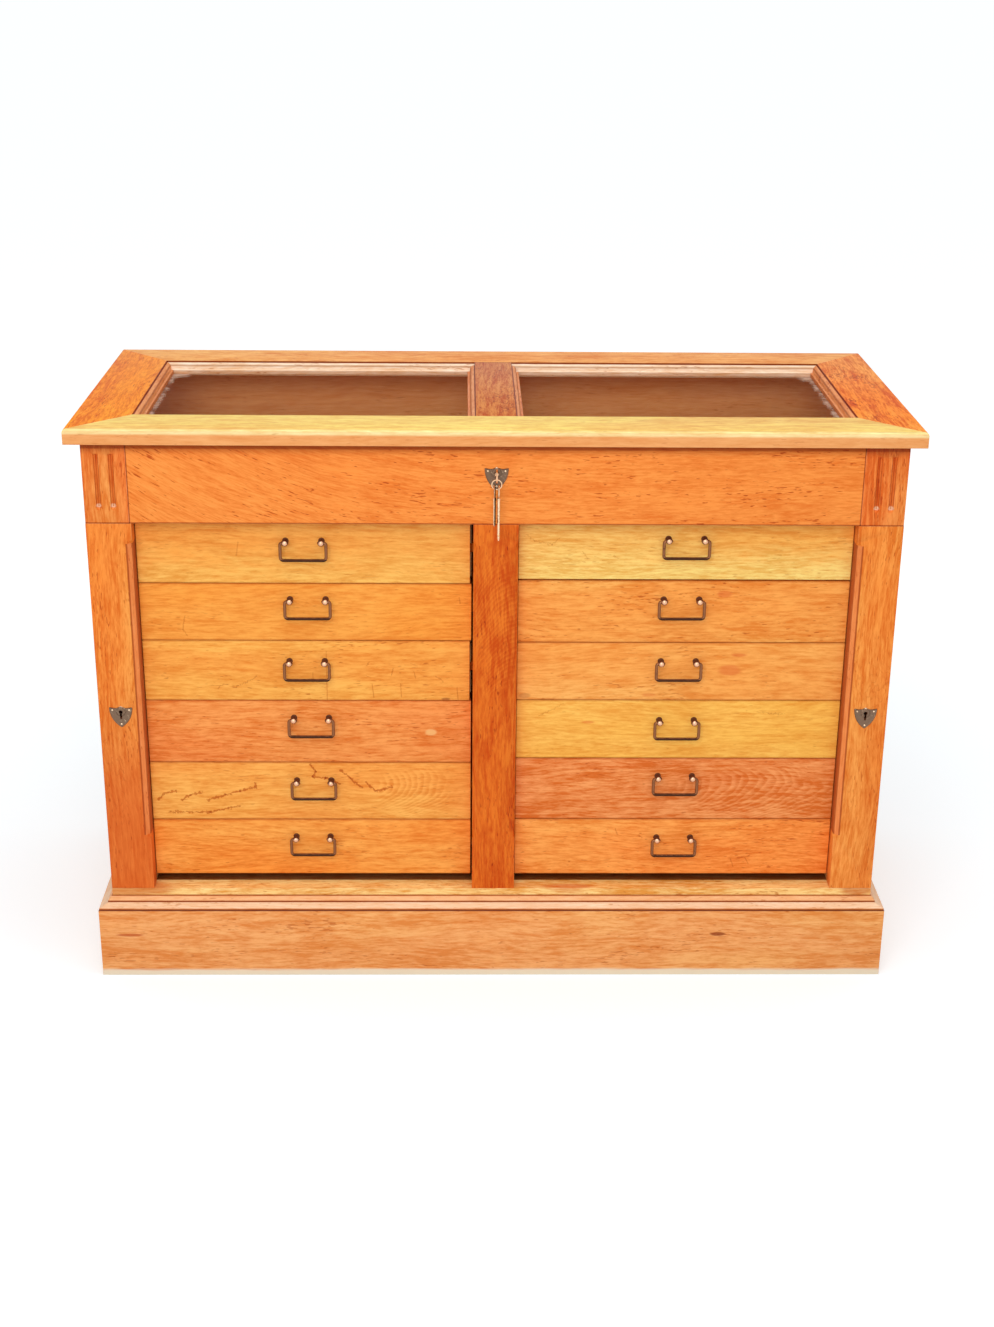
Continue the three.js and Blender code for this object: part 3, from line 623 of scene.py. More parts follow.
    def material(self, name: str) -> bpy.types.Material:
        """Make the board's material: its ground colour by region, times the paleness that rings, streaks and fine
        fibres give, with clouds, patches, pores and single marks over it. All of them read the place on the object.

        Args:
            name: The material's name.

        Returns:
            The material.
        """
        shader = Shader(name)
        fibres = self.fibres(shader)
        place = fibres.place
        fine = fibres.noise(42.0, 330.0, 3.0, 0.7)
        streak = fibres.noise(10.0, 120.0, 4.0, 0.65)
        cloud = fibres.noise(15.0, 44.0, 3.0, 0.65)
        wide = fibres.noise(2.2, 8.0, 2.0)
        ground = shader.node("ShaderNodeRGB", {}, {}).outputs[0]
        ground.default_value = (*self.base, 1.0)
        if self.patches:
            ground = shader.mixed(wide.rising(0.44, 0.64) * self.patches, ground, self.patch)
        if self.fade:
            low, high = self.edge[0] - self.edge[1], self.edge[0] + self.edge[1]
            down = (high - place[2]) / (high - low) + (cloud - 0.5) * 0.9
            ground = shader.mixed(down.rising(0.2, 1.0) * self.fade, ground, self.patch)
        factors = [region for region in self.regions if region.factor]
        calm: Value | float = 0.0
        for region in self.regions:
            if not region.factor:
                cover = region.cover(place)
                ground = shader.mixed(cover, ground, region.colour)
                calm = cover.at_least(calm)
        tone = (streak - 0.5) * 1.7 + (fine - 0.5) * 2.7 + (cloud - 0.5) * 1.6 + self.year(fibres) + 0.42
        if self.arches:
            tone = tone + self.arched(fibres)
        tone = tone + (0.3 - tone) * calm * 0.55
        tone = tone.at_least(0.0).at_most(1.0)
        wood = shader.mixed(tone, self.paleness(PALE_WOOD), self.paleness(DARK_WOOD))
        colour = shader.mixed(1.0, ground, wood, "MULTIPLY")
        if self.warmth:
            share = (1.0 - wide * 0.6 - cloud * 0.6).rising(0.42, 0.62) * self.warmth
            colour = shader.mixed(share, colour, WARM_WOOD, "MULTIPLY")
        height = fine * 0.5
        if self.pores:
            dash = fibres.noise(75.0, 430.0, 1.0)
            crowd = fibres.noise(7.0, 38.0, 2.0, 0.6)
            pore = (dash + crowd * 0.5).rising(0.92, 1.02) * self.pores
            colour = shader.mixed(pore, colour, FLECK, "MULTIPLY")
            height = height - pore * 0.8
        if self.rays:
            wander = fibres.noise(30.0, 62.0, 2.0, 0.65)
            where = fibres.noise(7.0, 15.0, 1.0)
            ray = (1.0 - abs(wander - 0.5).rising(0.006, 0.03)) * where.rising(0.52, 0.62) * self.rays
            colour = shader.mixed(ray, colour, FLECK, "MULTIPLY")
        colour = self.marks(fibres, colour, streak)
        # Painted shade: darker within a few millimetres of the board's edges, where gaps and overhangs shade it.
        if self.edge:
            rim = self.edge[1] - abs(place[self.grain.value[1]] - self.edge[0])
            colour = shader.mixed((1.0 - rim.rising(0.0, 0.0035)) * 0.4, colour, SHADE_AND_GRIME, "MULTIPLY")
        if fibres.joint is not None:
            colour = shader.mixed(fibres.joint * 0.8, colour, SHADE_AND_GRIME, "MULTIPLY")
        for region in factors:
            colour = shader.mixed(region.cover(place), colour, region.colour, "MULTIPLY")
        shader.surface(
            {
                "Base Color": colour,
                "Roughness": fine * 0.16 + (self.sheen - 0.08),
                "Specular IOR Level": self.gleam,
                "Normal": shader.relief(height, 0.25 * MM, 0.4),
            }
        )
        return shader.material

    def arched(self, fibres: Fibres) -> Value:
        """Work out stacked arches: whole steps of the way along plus a square of the way across, faded outwards.

        Args:
            fibres: The board's fibres.

        Returns:
            How much darker or paler the wood is.
        """
        arches = self.arches
        along, across, _ = fibres.way
        off = across - arches.axis
        uneven = fibres.noise(20.0, 30.0, 2.0) - 0.5
        step = ((along + off * off * arches.curve) / arches.pitch + uneven * 1.6) % 1.0
        line = step.rising(0.0, 0.7) * (1.0 - step.rising(0.82, 1.0)) - 0.5
        gaps = [(w - c) / r for w, c, r in zip((along, across), arches.centre, arches.reach)]
        gap = (gaps[0] * gaps[0] + gaps[1] * gaps[1]).root() + uneven
        return line * (1.0 - gap.rising(0.5, 1.0)) * arches.strength


@dataclass(frozen=True)
class Metal:
    """Old metal, rubbed bright in places and dull in its hollows.

    Attributes:
        bright: The colour where it is rubbed.
        dull: The colour of the patina.
        roughness: How rough the rubbed metal is.
        patina: How much patina there is.
        scale: How fine its patches are, per metre.
        rubbed: A ball in which the metal is rubbed: its middle and its radius, in metres.
        lit: A level along one axis above which the metal is painted bright, a painted highlight, and below which it is
            painted dull, a painted shade: the axis, the level and how softly it changes.
    """

    bright: Rgb
    dull: Rgb
    roughness: float = 0.35
    patina: float = 0.5
    scale: float = 180.0
    rubbed: tuple[Point, float] | None = None
    lit: tuple[int, float, float] | None = None

    def material(self, name: str) -> bpy.types.Material:
        """Make the metal's material: noise decides between rubbed metal and patina, which is also rougher, and the
        places that hands reach have less patina.

        Args:
            name: The material's name.

        Returns:
            The material.
        """
        shader = Shader(name)
        x, y, z = place = shader.place()
        cloud = shader.noise((x * self.scale, y * self.scale, z * self.scale), 3.0, 0.6)
        grit = shader.noise((x * 1900.0, y * 1900.0, z * 1900.0), 2.0)
        dullness = cloud + grit * 0.25 + (self.patina - 0.5)
        if self.rubbed:
            centre, radius = self.rubbed
            gaps = [(p - c) / radius for p, c in zip(place, centre)]
            gap = (gaps[0] * gaps[0] + gaps[1] * gaps[1] + gaps[2] * gaps[2]).root()
            dullness = dullness + gap.rising(0.55, 1.25) * 0.6 - 0.3
        # Painted light: brighter above the level, darker below it.
        if self.lit:
            axis, level, soft = self.lit
            dullness = dullness + 0.3 - place[axis].rising(level - soft, level + soft) * 0.6
        dull = dullness.rising(0.5, 0.75)
        colour = shader.mixed(dull, self.bright, self.dull)
        shader.surface(
            {
                "Base Color": colour,
                "Metallic": 1.0 - dull * 0.15,
                "Roughness": dull * 0.22 + grit * 0.1 + (self.roughness - 0.05),
                "Normal": shader.relief(grit + cloud * 0.5, 0.12 * MM, 0.35),
            }
        )
        return shader.material


@dataclass(frozen=True)
class Pane:
    """Old sheet glass with dust that gathers along its edges and corners.

    Attributes:
        middle: The middle of the pane's visible part, in metres.
        half: Half its size, in metres.
        outer: The direction along X of the end where the dust lies.
        dust: How much dust lies along the edges.
    """

    middle: tuple[float, float]
    half: tuple[float, float]
    outer: int
    dust: float = 0.5

    def material(self, name: str) -> bpy.types.Material:
        """Make the glass: clear with a faint gleam, and dusty where noise and the nearness of an edge add up.

        Args:
            name: The material's name.

        Returns:
            The material.
        """
        shader = Shader(name)
        x, y, z = shader.place()
        smear = shader.noise((x * 22.0, y * 60.0, z), 3.0, 0.65)
        haze = shader.noise((x * 5.0, y * 7.0, z), 2.0)
        side = (self.half[0] - (x - self.middle[0]) * float(self.outer)).at_least(0.0)
        ends = (self.half[1] - (y - self.middle[1])).at_least(0.0)
        corner = 1.0 - (side * 1.3 + ends).rising(0.005, 0.08)
        along = (1.0 - side.rising(0.0, 0.02)) * 0.8
        dusty = (corner.at_least(along) * 0.6 + smear * 1.2 - 0.94).rising(0.0, 0.26) * self.dust
        share = dusty + haze * 0.02 + 0.004
        clear = shader.node("ShaderNodeBsdfTransparent", {}, {"Color": (0.93, 0.95, 0.93)})
        gleam = shader.node(
            "ShaderNodeBsdfPrincipled",
            {},
            {"Base Color": tint(246, 214, 190), "Roughness": dusty * 0.6 + 0.12, "Specular IOR Level": 0.3},
        )
        both = shader.node("ShaderNodeMixShader", {}, {0: share, 1: clear.outputs[0], 2: gleam.outputs[0]})
        shader.tree.links.new(both.outputs[0], shader.output.inputs["Surface"])
        return shader.material


# Surfaces


@dataclass
class Skin:
    """A closed surface.

    Attributes:
        points: Its points, one row each, in metres.
        faces: The numbers of each face's points.
    """

    points: np.ndarray
    faces: list[list[int]]

    def __add__(self, other: Skin) -> Skin:
        """Put two surfaces into one piece."""
        count = len(self.points)
        moved = [[index + count for index in face] for face in other.faces]
        return Skin(np.vstack([self.points, other.points]), self.faces + moved)


def skin_over(rings: np.ndarray, closed: bool = False) -> Skin:
    """Stretch a surface over rings of points; point (i, j) of the grid is point j of ring i.

    Args:
        rings: The grid of points, ring by ring.
        closed: Whether the last ring joins the first; otherwise both ends are capped.

    Returns:
        The closed surface.
    """
    count, size = rings.shape[:2]
    ring = np.arange(count if closed else count - 1)[:, None]
    here = np.arange(size)[None, :]
    beside = (here + 1) % size
    ahead = (ring + 1) % count
    corners = [ring * size + here, ring * size + beside, ahead * size + beside, ahead * size + here]
    faces = np.stack(corners, axis=-1).reshape(-1, 4).tolist()
    if not closed:
        faces.append(list(range(size))[::-1])
        faces.append(list(range((count - 1) * size, count * size)))
    return Skin(rings.reshape(-1, 3), faces)


def eased(corners: np.ndarray, radius: float, steps: int = 3) -> np.ndarray:
    """Round the corners of an outline: each becomes the quadratic curve between the points one radius before and
    after it, with the corner as its pull.

    Args:
        corners: The outline's corners, one row each.
        radius: How far from the corner the rounding starts.
        steps: Points of each rounding, less one.

    Returns:
        The rounded outline.
    """
    before, after = np.roll(corners, 1, axis=0) - corners, np.roll(corners, -1, axis=0) - corners
    start = corners + radius * before / np.linalg.norm(before, axis=1, keepdims=True)
    end = corners + radius * after / np.linalg.norm(after, axis=1, keepdims=True)
    s = np.linspace(0, 1, steps + 1)[None, :, None]
    curve = (1 - s) ** 2 * start[:, None] + 2 * s * (1 - s) * corners[:, None] + s**2 * end[:, None]
    return curve.reshape(-1, corners.shape[1])


def board(low: np.ndarray, high: np.ndarray, radius: float, steps: int = 2) -> Skin:
    """Make a straight board with rounded arrises: a point of the box's skin goes to the nearest point of the box that
    is smaller by the radius, and from there out along the rest of its way by the radius.

    Args:
        low: The lowest corner.
        high: The highest corner.
        radius: The arrises' radius.
        steps: Facets of half a rounding.

    Returns:
        The board.
    """
    low, high = np.asarray(low, float), np.asarray(high, float)
    turn = np.tan(np.linspace(0, math.pi / 4, steps + 1))
    lines = [np.r_[low[i] + radius * (1 - turn[::-1]), high[i] - radius * (1 - turn)] for i in range(3)]
    skin: Skin | None = None
    for axis in range(3):
        u, v = (axis + 1) % 3, (axis + 2) % 3
        for plane in (low[axis], high[axis]):
            grid = np.empty((len(lines[u]), len(lines[v]), 3))
            grid[..., axis] = plane
            grid[..., u], grid[..., v] = np.meshgrid(lines[u], lines[v], indexing="ij")
            nearest = np.clip(grid, low + radius, high - radius)
            rest = grid - nearest
            rounded = nearest + radius * rest / np.linalg.norm(rest, axis=-1, keepdims=True)
            rows, columns = grid.shape[:2]
            index = np.arange(rows * columns).reshape(rows, columns)
            quads = np.stack([index[:-1, :-1], index[1:, :-1], index[1:, 1:], index[:-1, 1:]], axis=-1)
            patch = Skin(rounded.reshape(-1, 3), quads.reshape(-1, 4).tolist())
            skin = patch if skin is None else skin + patch
    return skin


def prism(outline: np.ndarray, axes: tuple[int, int, int], start: float, end: float, edge: float = 0.0) -> Skin:
    """Carry a flat outline straight along one axis, with its end arrises eased inwards.

    Args:
        outline: The outline, one row of two numbers each.
        axes: The axes of the outline's first and second number, and of the way along.
        start: Where it starts along the last axis.
        end: Where it ends.
        edge: How far the end arrises are eased.

    Returns:
        The prism.
    """
    side = np.roll(outline, -1, axis=0) - np.roll(outline, 1, axis=0)
    normal = np.stack([side[:, 1], -side[:, 0]], axis=1) / np.linalg.norm(side, axis=1, keepdims=True)
    area = np.sum(outline[:, 0] * np.roll(outline[:, 1], -1) - np.roll(outline[:, 0], -1) * outline[:, 1])
    inward = -normal * math.copysign(1.0, area)
    way = math.copysign(1.0, end - start)
    stations = [(start, edge), (start + way * 0.3 * edge, 0.3 * edge), (start + way * edge, 0.0)]
    stations += [(end - way * edge, 0.0), (end - way * 0.3 * edge, 0.3 * edge), (end, edge)]
    if not edge:
        stations = [(start, 0.0), (end, 0.0)]
    rings = np.empty((len(stations), len(outline), 3))
    for ring, (place, inset) in zip(rings, stations):
        ring[:, list(axes[:2])] = outline + inward * inset
        ring[:, axes[2]] = place
    return skin_over(rings)


def tube(
    path: np.ndarray,
    radius: float | np.ndarray,
    square: Point,
    sides: int = 16,
    closed: bool = False,
    flat: float = 1.0,
) -> Skin:
    """Carry a round section along a flat path: a point is the path's point plus the radius times cos of the turn
    along the path's own normal and sin of the turn along the direction square to its plane.

    Args:
        path: The path's points.
        radius: The section's radius, or one for each point.
        square: The direction square to the path's plane.
        sides: Points round the section.
        closed: Whether the path is a ring.
        flat: How thick the section is across the plane, against its width.

    Returns:
        The tube.
    """
    if closed:
        ahead = np.roll(path, -1, axis=0) - np.roll(path, 1, axis=0)
    else:
        ahead = np.gradient(path, axis=0)
    ahead /= np.linalg.norm(ahead, axis=1, keepdims=True)
    up = np.asarray(square, float)
    out = np.cross(up, ahead)
    turn = np.linspace(0, 2 * math.pi, sides, endpoint=False)
    section = np.cos(turn)[None, :, None] * out[:, None] + flat * np.sin(turn)[:, None] * up
    rings = path[:, None] + np.broadcast_to(radius, len(path))[:, None, None] * section
    return skin_over(rings, closed)


def turned(profile: np.ndarray, centre: Point, axis: Point, sides: int = 24) -> Skin:
    """Turn a profile about an axis: a point is the centre plus its height along the axis plus its radius round it.

    Args:
        profile: Radius and height, one row each; it starts and ends on the axis or is capped.
        centre: The point of height zero.
        axis: The axis's direction.
        sides: Points round.

    Returns:
        The turned form.
    """
    along = np.asarray(axis, float)
    helper = np.array([0.0, 0.0, 1.0]) if abs(along[2]) < 0.9 else np.array([1.0, 0.0, 0.0])
    u = np.cross(along, helper)
    u /= np.linalg.norm(u)
    v = np.cross(along, u)
    turn = np.linspace(0, 2 * math.pi, sides, endpoint=False)
    circle = np.cos(turn)[:, None] * u + np.sin(turn)[:, None] * v
    rings = np.asarray(centre) + profile[:, 1, None, None] * along + profile[:, 0, None, None] * circle[None]
    return skin_over(rings)


def mesh_of(name: str, skin: Skin) -> bpy.types.Mesh:
    """Make a mesh of a surface, closed and facing outwards.

    Args:
        name: The mesh's name.
        skin: Its surface.

    Returns:
        The mesh.
    """
    mesh = bpy.data.meshes.new(name)
    mesh.from_pydata(skin.points.tolist(), [], skin.faces)
    work = bmesh.new()
    work.from_mesh(mesh)
    bmesh.ops.remove_doubles(work, verts=work.verts, dist=WELD)
    bmesh.ops.dissolve_degenerate(work, edges=work.edges, dist=WELD)
    bmesh.ops.recalc_face_normals(work, faces=work.faces)
    work.to_mesh(mesh)
    work.free()
    return mesh


def body_of(node: str) -> str:
    """Name the body that a node rides on."""
    return frame["nodes"][node]["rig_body"]


def joined_copy(node: str, arris: float, least: float) -> bpy.types.Mesh:
    """Copy a node's mesh, join its loose triangles and round the long outer edges.

    Args:
        node: The node.
        arris: How far from the edge the rounding starts, in metres.
        least: Edges shorter than this stay as they are, in metres.

    Returns:
        The new mesh, whose second material is for the rounded edges.
    """
    work = bmesh.new()
    work.from_mesh(frame["nodes"][node].data)
    bmesh.ops.remove_doubles(work, verts=work.verts, dist=WELD)
    bmesh.ops.dissolve_limit(work, angle_limit=math.radians(0.4), verts=work.verts, edges=work.edges)
    edges = [
        edge
        for edge in work.edges
        if len(edge.link_faces) == 2
        and edge.is_convex
        and edge.calc_face_angle() > math.radians(40)
        and edge.calc_length() > least
    ]
    for face in work.faces:
        face.material_index = 0
    bmesh.ops.bevel(
        work,
        geom=edges,
        offset=arris,
        offset_type="OFFSET",
        segments=3,
        profile=0.5,
        affect="EDGES",
        clamp_overlap=True,
        material=1,
    )
    mesh = bpy.data.meshes.new(node)
    work.to_mesh(mesh)
    work.free()
    return mesh


# Sub-assemblies


@dataclass
class Assembly:
    """Pieces that are made and dressed together.

    Attributes:
        pieces: The pieces by name.
    """

    pieces: dict[str, bpy.types.Object] = field(default_factory=dict, init=False)

    def add(self, name: str, shape: Skin | bpy.types.Mesh, body: str, *nodes: str) -> bpy.types.Object:
        """Put a shape into the scene, smooth but for its sharp edges, on a body.

        Args:
            name: The piece's name.
            shape: Its surface or mesh.
            body: The body that it rides on.
            *nodes: The nodes that it stands for.

        Returns:
            The piece.
        """
        mesh = mesh_of(name, shape) if isinstance(shape, Skin) else shape
        mesh.shade_smooth()
        mesh.set_sharp_from_angle(angle=math.radians(34))
        made = bpy.data.objects.new(name, mesh)
        bpy.context.scene.collection.objects.link(made)
        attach(made, body)
        if nodes:
            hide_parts(*nodes)
        self.pieces[name] = made
        return made

    def carve(self, node: str, arris: float = 0.7 * MM, least: float = 8 * MM) -> bpy.types.Object:
        """Stand a wooden piece with rounded arrises in for a node.

        Args:
            node: The node.
            arris: How far from the edge the rounding starts, in metres.
            least: Edges shorter than this stay sharp, in metres.

        Returns:
            The piece.
        """
        return self.add(f"wood_{node}", joined_copy(node, arris, least), body_of(node), node)

    def oil(self, name: str, finish: Oak, slot: str, *others: Oak) -> None:
        """Dress a wooden piece.

        Args:
            name: The piece's name.
            finish: Its wood.
            slot: The record's material slot; not used.
            *others: The woods of its further materials; without them the second one is the worn wood, with its painted
                     highlight.
        """
        mesh = self.pieces[name].data
        mesh.materials.append(finish.material(f"{name}_oak"))
        for number, other in enumerate(others or (finish.worn(),)):
            mesh.materials.append(other.material(f"{name}_oak_{number + 2}"))

    def plate(self, name: str, metal: bpy.types.Material, slot: str) -> None:
        """Dress a metal piece.

        Args:
            name: The piece's name.
            metal: Its material.
            slot: The record's material slot; not used.
        """
        self.pieces[name].data.materials.append(metal)


def dress_node(node: str, material: bpy.types.Material) -> None:
    """Give a node that keeps its own shape a material."""
    materials = frame["nodes"][node].data.materials
    materials.clear()
    materials.append(material)


@dataclass
class Plinth(Assembly):
    """Skirting boards with their two moulded bands, and the board on them.

    Attributes:
        face: The colour of the skirting's face.
        bands: The colours painted on the upper and the lower band, painted highlights where they face up.
        levels: The heights of the face's top, the bands' limits and the skirting's top, in metres.
        foot: The height of the worn foot, in metres.
        drawers: The plane of the drawers' fronts, behind which shade is painted on the base board, in metres.
    """

    face: Rgb = tint(246, 168, 98)
    bands: tuple[Rgb, Rgb] = (tint(249, 186, 128), tint(253, 214, 172))
    levels: tuple[float, ...] = (121.5 * MM, 125.2 * MM, 130.4 * MM, 132.9 * MM, 140 * MM)
    foot: float = 9 * MM
    drawers: float = -224 * MM

    def build(self) -> None:
        """Make the four boards."""
        for node in ("plinth_front", "plinth_left", "plinth_right", "base_board"):
            self.carve(node, 0.4 * MM, 20 * MM)

    def moulding(self) -> tuple[Region, ...]:
        """Give the bands painted highlights where they face up, with painted shade in the hollow lines beside them."""
        face, rise, lower, upper, top = self.levels

        def level(low: float, high: float, colour: Rgb, factor: bool = False) -> Region:
            return Region((-FAR, -FAR, low), (FAR, FAR, high), colour, 0.9, 0.3 * MM, factor)

        return (
            # Painted highlights on the two bands, then painted shade in the hollow lines.
            level(rise, lower, self.bands[1]),
            level(upper, top - 0.8 * MM, self.bands[0]),
            level(face - 0.4 * MM, face + 1.6 * MM, DEEP_SHADE, True),
            level(face - 0.6 * MM, rise - 0.2 * MM, SHADE_AND_GRIME, True),
            level(lower - 0.2 * MM, upper + 0.2 * MM, SHADE_AND_GRIME, True),
            level(lower + 0.4 * MM, upper - 0.2 * MM, SHADE_AND_GRIME, True),
            level(top - 1.2 * MM, top + 0.6 * MM, SHADE_AND_GRIME, True),
        )

    def dress(self) -> None:
        """Give each board its wood."""
        low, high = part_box("plinth_front")
        worn = Spot((0.0, low.y, 0.0), (4 * high.x, 24 * MM, self.foot * 1.6), tint(244, 230, 204), 0.9)
        knot = Spot((0.375, low.y, 0.078), (16 * MM, 9 * MM, 4.5 * MM), tint(150, 66, 26), 0.85)
        streak = Spot((-0.6, low.y, 0.076), (26 * MM, 9 * MM, 3.5 * MM), tint(196, 92, 44), 0.8)
        front = Oak(
            self.face,
            1.1,
            seed=3,
            heart=0.6,
            figure=0.3,
            pores=0.6,
            patches=0.2,
            regions=self.moulding(),
            spots=(worn, knot, streak),
        )
        self.oil("wood_plinth_front", front, "oak")
        for seed, hand in enumerate(HANDS):
            side = replace(front, grain=Grain.ALONG_Y, seed=20 + seed, spots=())
            self.oil(f"wood_plinth_{hand}", side, "oak")
        # Painted shade where the board sits on the skirting and, darker, behind the drawers' fronts.
        gap = Region((-FAR, -FAR, -FAR), (FAR, FAR, self.levels[-1] + 0.8 * MM), SHADE_AND_GRIME, 0.9, 0.4 * MM, True)
        shade = Region((-FAR, self.drawers, self.levels[-1] + MM), (FAR, FAR, FAR), (0.2, 0.1, 0.07), 0.95, MM, True)
        stains = tuple(
            Spot((x, self.drawers + deep, 0.149), (reach, wide, 12 * MM), colour, share)
            for x, deep, reach, wide, colour, share in (
                (0.125, -22 * MM, 60 * MM, 10 * MM, tint(206, 84, 20), 0.6),
                (-0.6, -38 * MM, 96 * MM, 50 * MM, tint(208, 114, 54), 0.7),
                (0.605, -36 * MM, 34 * MM, 40 * MM, tint(196, 86, 30), 0.6),
            )
        )
        base = Oak(
            tint(254, 206, 124), 1.4, seed=5, heart=0.5, pores=0.8, patches=0.4, regions=(gap, shade), spots=stains
        )
        self.oil("wood_base_board", base, "oak")


def lid_shadow(top: float) -> tuple[Region, Region]:
    """Give the painted shadow that the lid's overhang casts, below the top of a board.

    Args:
        top: The board's top, in metres.

    Returns:
        A dark line of painted shadow and the soft painted shade below it.
    """
    return (
        Region((-FAR, -FAR, top - 11 * MM), (FAR, FAR, FAR), (0.5, 0.3, 0.12), 0.75, 1.2 * MM, True),
        Region((-FAR, -FAR, top - 15 * MM), (FAR, FAR, FAR), (0.6, 0.5, 0.42), 0.9, 8 * MM, True),
    )


@dataclass
class Carcass(Assembly):
    """Sides, back, upright between the stacks, floor of the display, frieze and capital blocks.

    Attributes:
        colour: The colour of the carcass's outer boards.
        inner: The colour of the unlit inner wood.
        opening: Half size of the sides' sunk panels along Y and Z, in metres.
        flute: The radius of the blocks' flutes, in metres.
    """

    colour: Rgb = tint(240, 138, 58)
    inner: Rgb = tint(236, 164, 94)
    opening: tuple[float, float] = (173.3 * MM, 283.6 * MM)
    flute: float = 4 * MM

    def build(self) -> None:
        """Make the boards."""
        for hand in HANDS:
            self.carve(f"side_{hand}")
            self.carve(f"capital_block_{hand}", 0.6 * MM, 12 * MM)
        for node in ("back_panel", "centre_upright", "frieze"):
            self.carve(node)

    def dress(self) -> None:
        """Give each board its wood."""
        for seed, hand in enumerate(HANDS):
            sign = -1 if hand == "left" else 1
            self.dress_side(hand, sign, 30 + seed)
            self.dress_block(hand, 34 + seed)
        low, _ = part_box("back_panel")
        shaded = Region((-FAR, -FAR, -FAR), (FAR, low.y + 0.5 * MM, FAR), self.inner)
        dim = Region((-FAR, -FAR, 0.872), (FAR, low.y + 0.5 * MM, FAR), (0.5, 0.41, 0.36), 0.95, 20 * MM, True)
        back = Oak(tint(222, 130, 62), 1.3, seed=40, heart=0.1, figure=0.4, patches=0.15, warmth=0.3, regions=(shaded, dim))
        self.oil("wood_back_panel", back, "dark_oak")
        stile = Arches((0.62, 0.0), (0.13, 0.06), 8 * MM, 16.0, 34 * MM, 0.3)
        upright = Oak(
            tint(226, 109, 26), 1.6, Grain.ALONG_Z, seed=42, heart=0.3, pores=1.0, warmth=0.8, patches=0.0, arches=stile
        )
        self.oil("wood_centre_upright", upright, "oak")
        low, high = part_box("frieze")
        shaded = Region((-FAR, high.y - 1 * MM, -FAR), (FAR, FAR, FAR), self.inner)
        # Painted shade along the frieze's ends beside the blocks, along its foot and under the lid.
        ends = (
            Region((-FAR, -FAR, -FAR), (low.x + 1.2 * MM, FAR, FAR), SHADE_AND_GRIME, 0.9, 0.6 * MM, True),
            Region((high.x - 1.2 * MM, -FAR, -FAR), (FAR, FAR, FAR), SHADE_AND_GRIME, 0.9, 0.6 * MM, True),
            Region((-FAR, -FAR, -FAR), (FAR, FAR, low.z + 1.6 * MM), SHADE_AND_GRIME, 0.9, 0.6 * MM, True),
            *lid_shadow(high.z),
        )
        frieze = Oak(
            tint(250, 146, 62),
            1.0,
            seed=44,
            heart=0.4,
            figure=0.05,
            bend=0.5,
            pores=1.0,
            patches=0.0,
            warmth=0.45,
            # Painted shade along its top and bottom edges.
            edge=((low.z + high.z) / 2, (high.z - low.z) / 2),
            regions=(shaded, keyhole("escutcheon_lid"), *ends),
        )
        self.oil("wood_frieze", frieze, "oak")
        low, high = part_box("display_floor")
        dim = Region((-FAR, high.y - 120 * MM, -FAR), (FAR, FAR, FAR), (0.62, 0.5, 0.42), 0.8, 90 * MM, True)
        floor = Oak(self.inner, 1.5, seed=46, heart=0.3, pores=0.5, patches=0.0, regions=(dim,))
        dress_node("display_floor", floor.material("display_floor_oak"))

    def dress_side(self, hand: str, sign: int, seed: int) -> None:
        """Give a side its framed board and dark inner wood.

        Args:
            hand: Which side it is.
            sign: Its direction along X.
            seed: Which part of the tree it shows.
        """
        low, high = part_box(f"side_{hand}")
        plane = sign * 607.4 * MM
        inside = (plane, FAR) if hand == "left" else (-FAR, plane)
        side = Oak(
            self.colour,
            1.3,
            Grain.ALONG_Z,
            seed=seed,
            heart=0.12,
            patches=0.15,
            warmth=0.3,
            regions=(Region((inside[0], -FAR, -FAR), (inside[1], FAR, FAR), self.inner),),
            panelled=Panelled(1, ((low.y + high.y) / 2, (low.z + high.z) / 2), self.opening),
        )
        self.oil(f"wood_side_{hand}", side, "oak")

    def dress_block(self, hand: str, seed: int) -> None:
        """Give a capital block its wood, painted shade in its flutes, a painted highlight on the drilled foot below
        each, and painted shade along its foot and under the lid.

        Args:
            hand: Which side it is on.
            seed: Which part of the tree it shows.
        """
        low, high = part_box(f"capital_block_{hand}")
        middles = [low.x + (high.x - low.x) * share / 3 for share in (1, 2)]
        # A painted highlight on the foot below each flute.
        flute_foot_highlights = tuple(Spot((x, low.y, 0.811), (5.2 * MM, 9 * MM, 4.2 * MM), tint(255, 214, 190), 1.0) for x in middles)
        flutes = []
        for x in middles:
            foot, top = low.z + 26 * MM, high.z - 19 * MM
            # Painted shade along both edges of each flute and, lighter, over the whole flute.
            for half, colour in ((self.flute, (0.86, 0.7, 0.55)), (1.2 * MM, (0.8, 0.6, 0.42))):
                for start, end in ((x - half, x - half + 1.5 * MM), (x + half - 1.5 * MM, x + half)):
                    flutes.append(Region((start, -FAR, foot), (end, FAR, top), colour, 1.0, 0.5 * MM, True))
            whole = Region((x - self.flute, -FAR, foot), (x + self.flute, FAR, top), (0.93, 0.82, 0.7), 1.0, 0.6 * MM, True)
            flutes.append(whole)
        # Painted shade along the block's foot and under the lid.
        flutes.append(Region((-FAR, -FAR, -FAR), (FAR, FAR, low.z + 1.8 * MM), SHADE_AND_GRIME, 0.8, 0.6 * MM, True))
        flutes += lid_shadow(high.z)
        block = Oak(
            tint(240, 126, 52),
            1.3,
            Grain.ALONG_Z,
            seed=seed,
            heart=0.3,
            figure=0.5,
            rings=190,
            pores=0.8,
            regions=tuple(flutes),
            spots=flute_foot_highlights,
        )
        self.oil(f"wood_capital_block_{hand}", block, "oak")


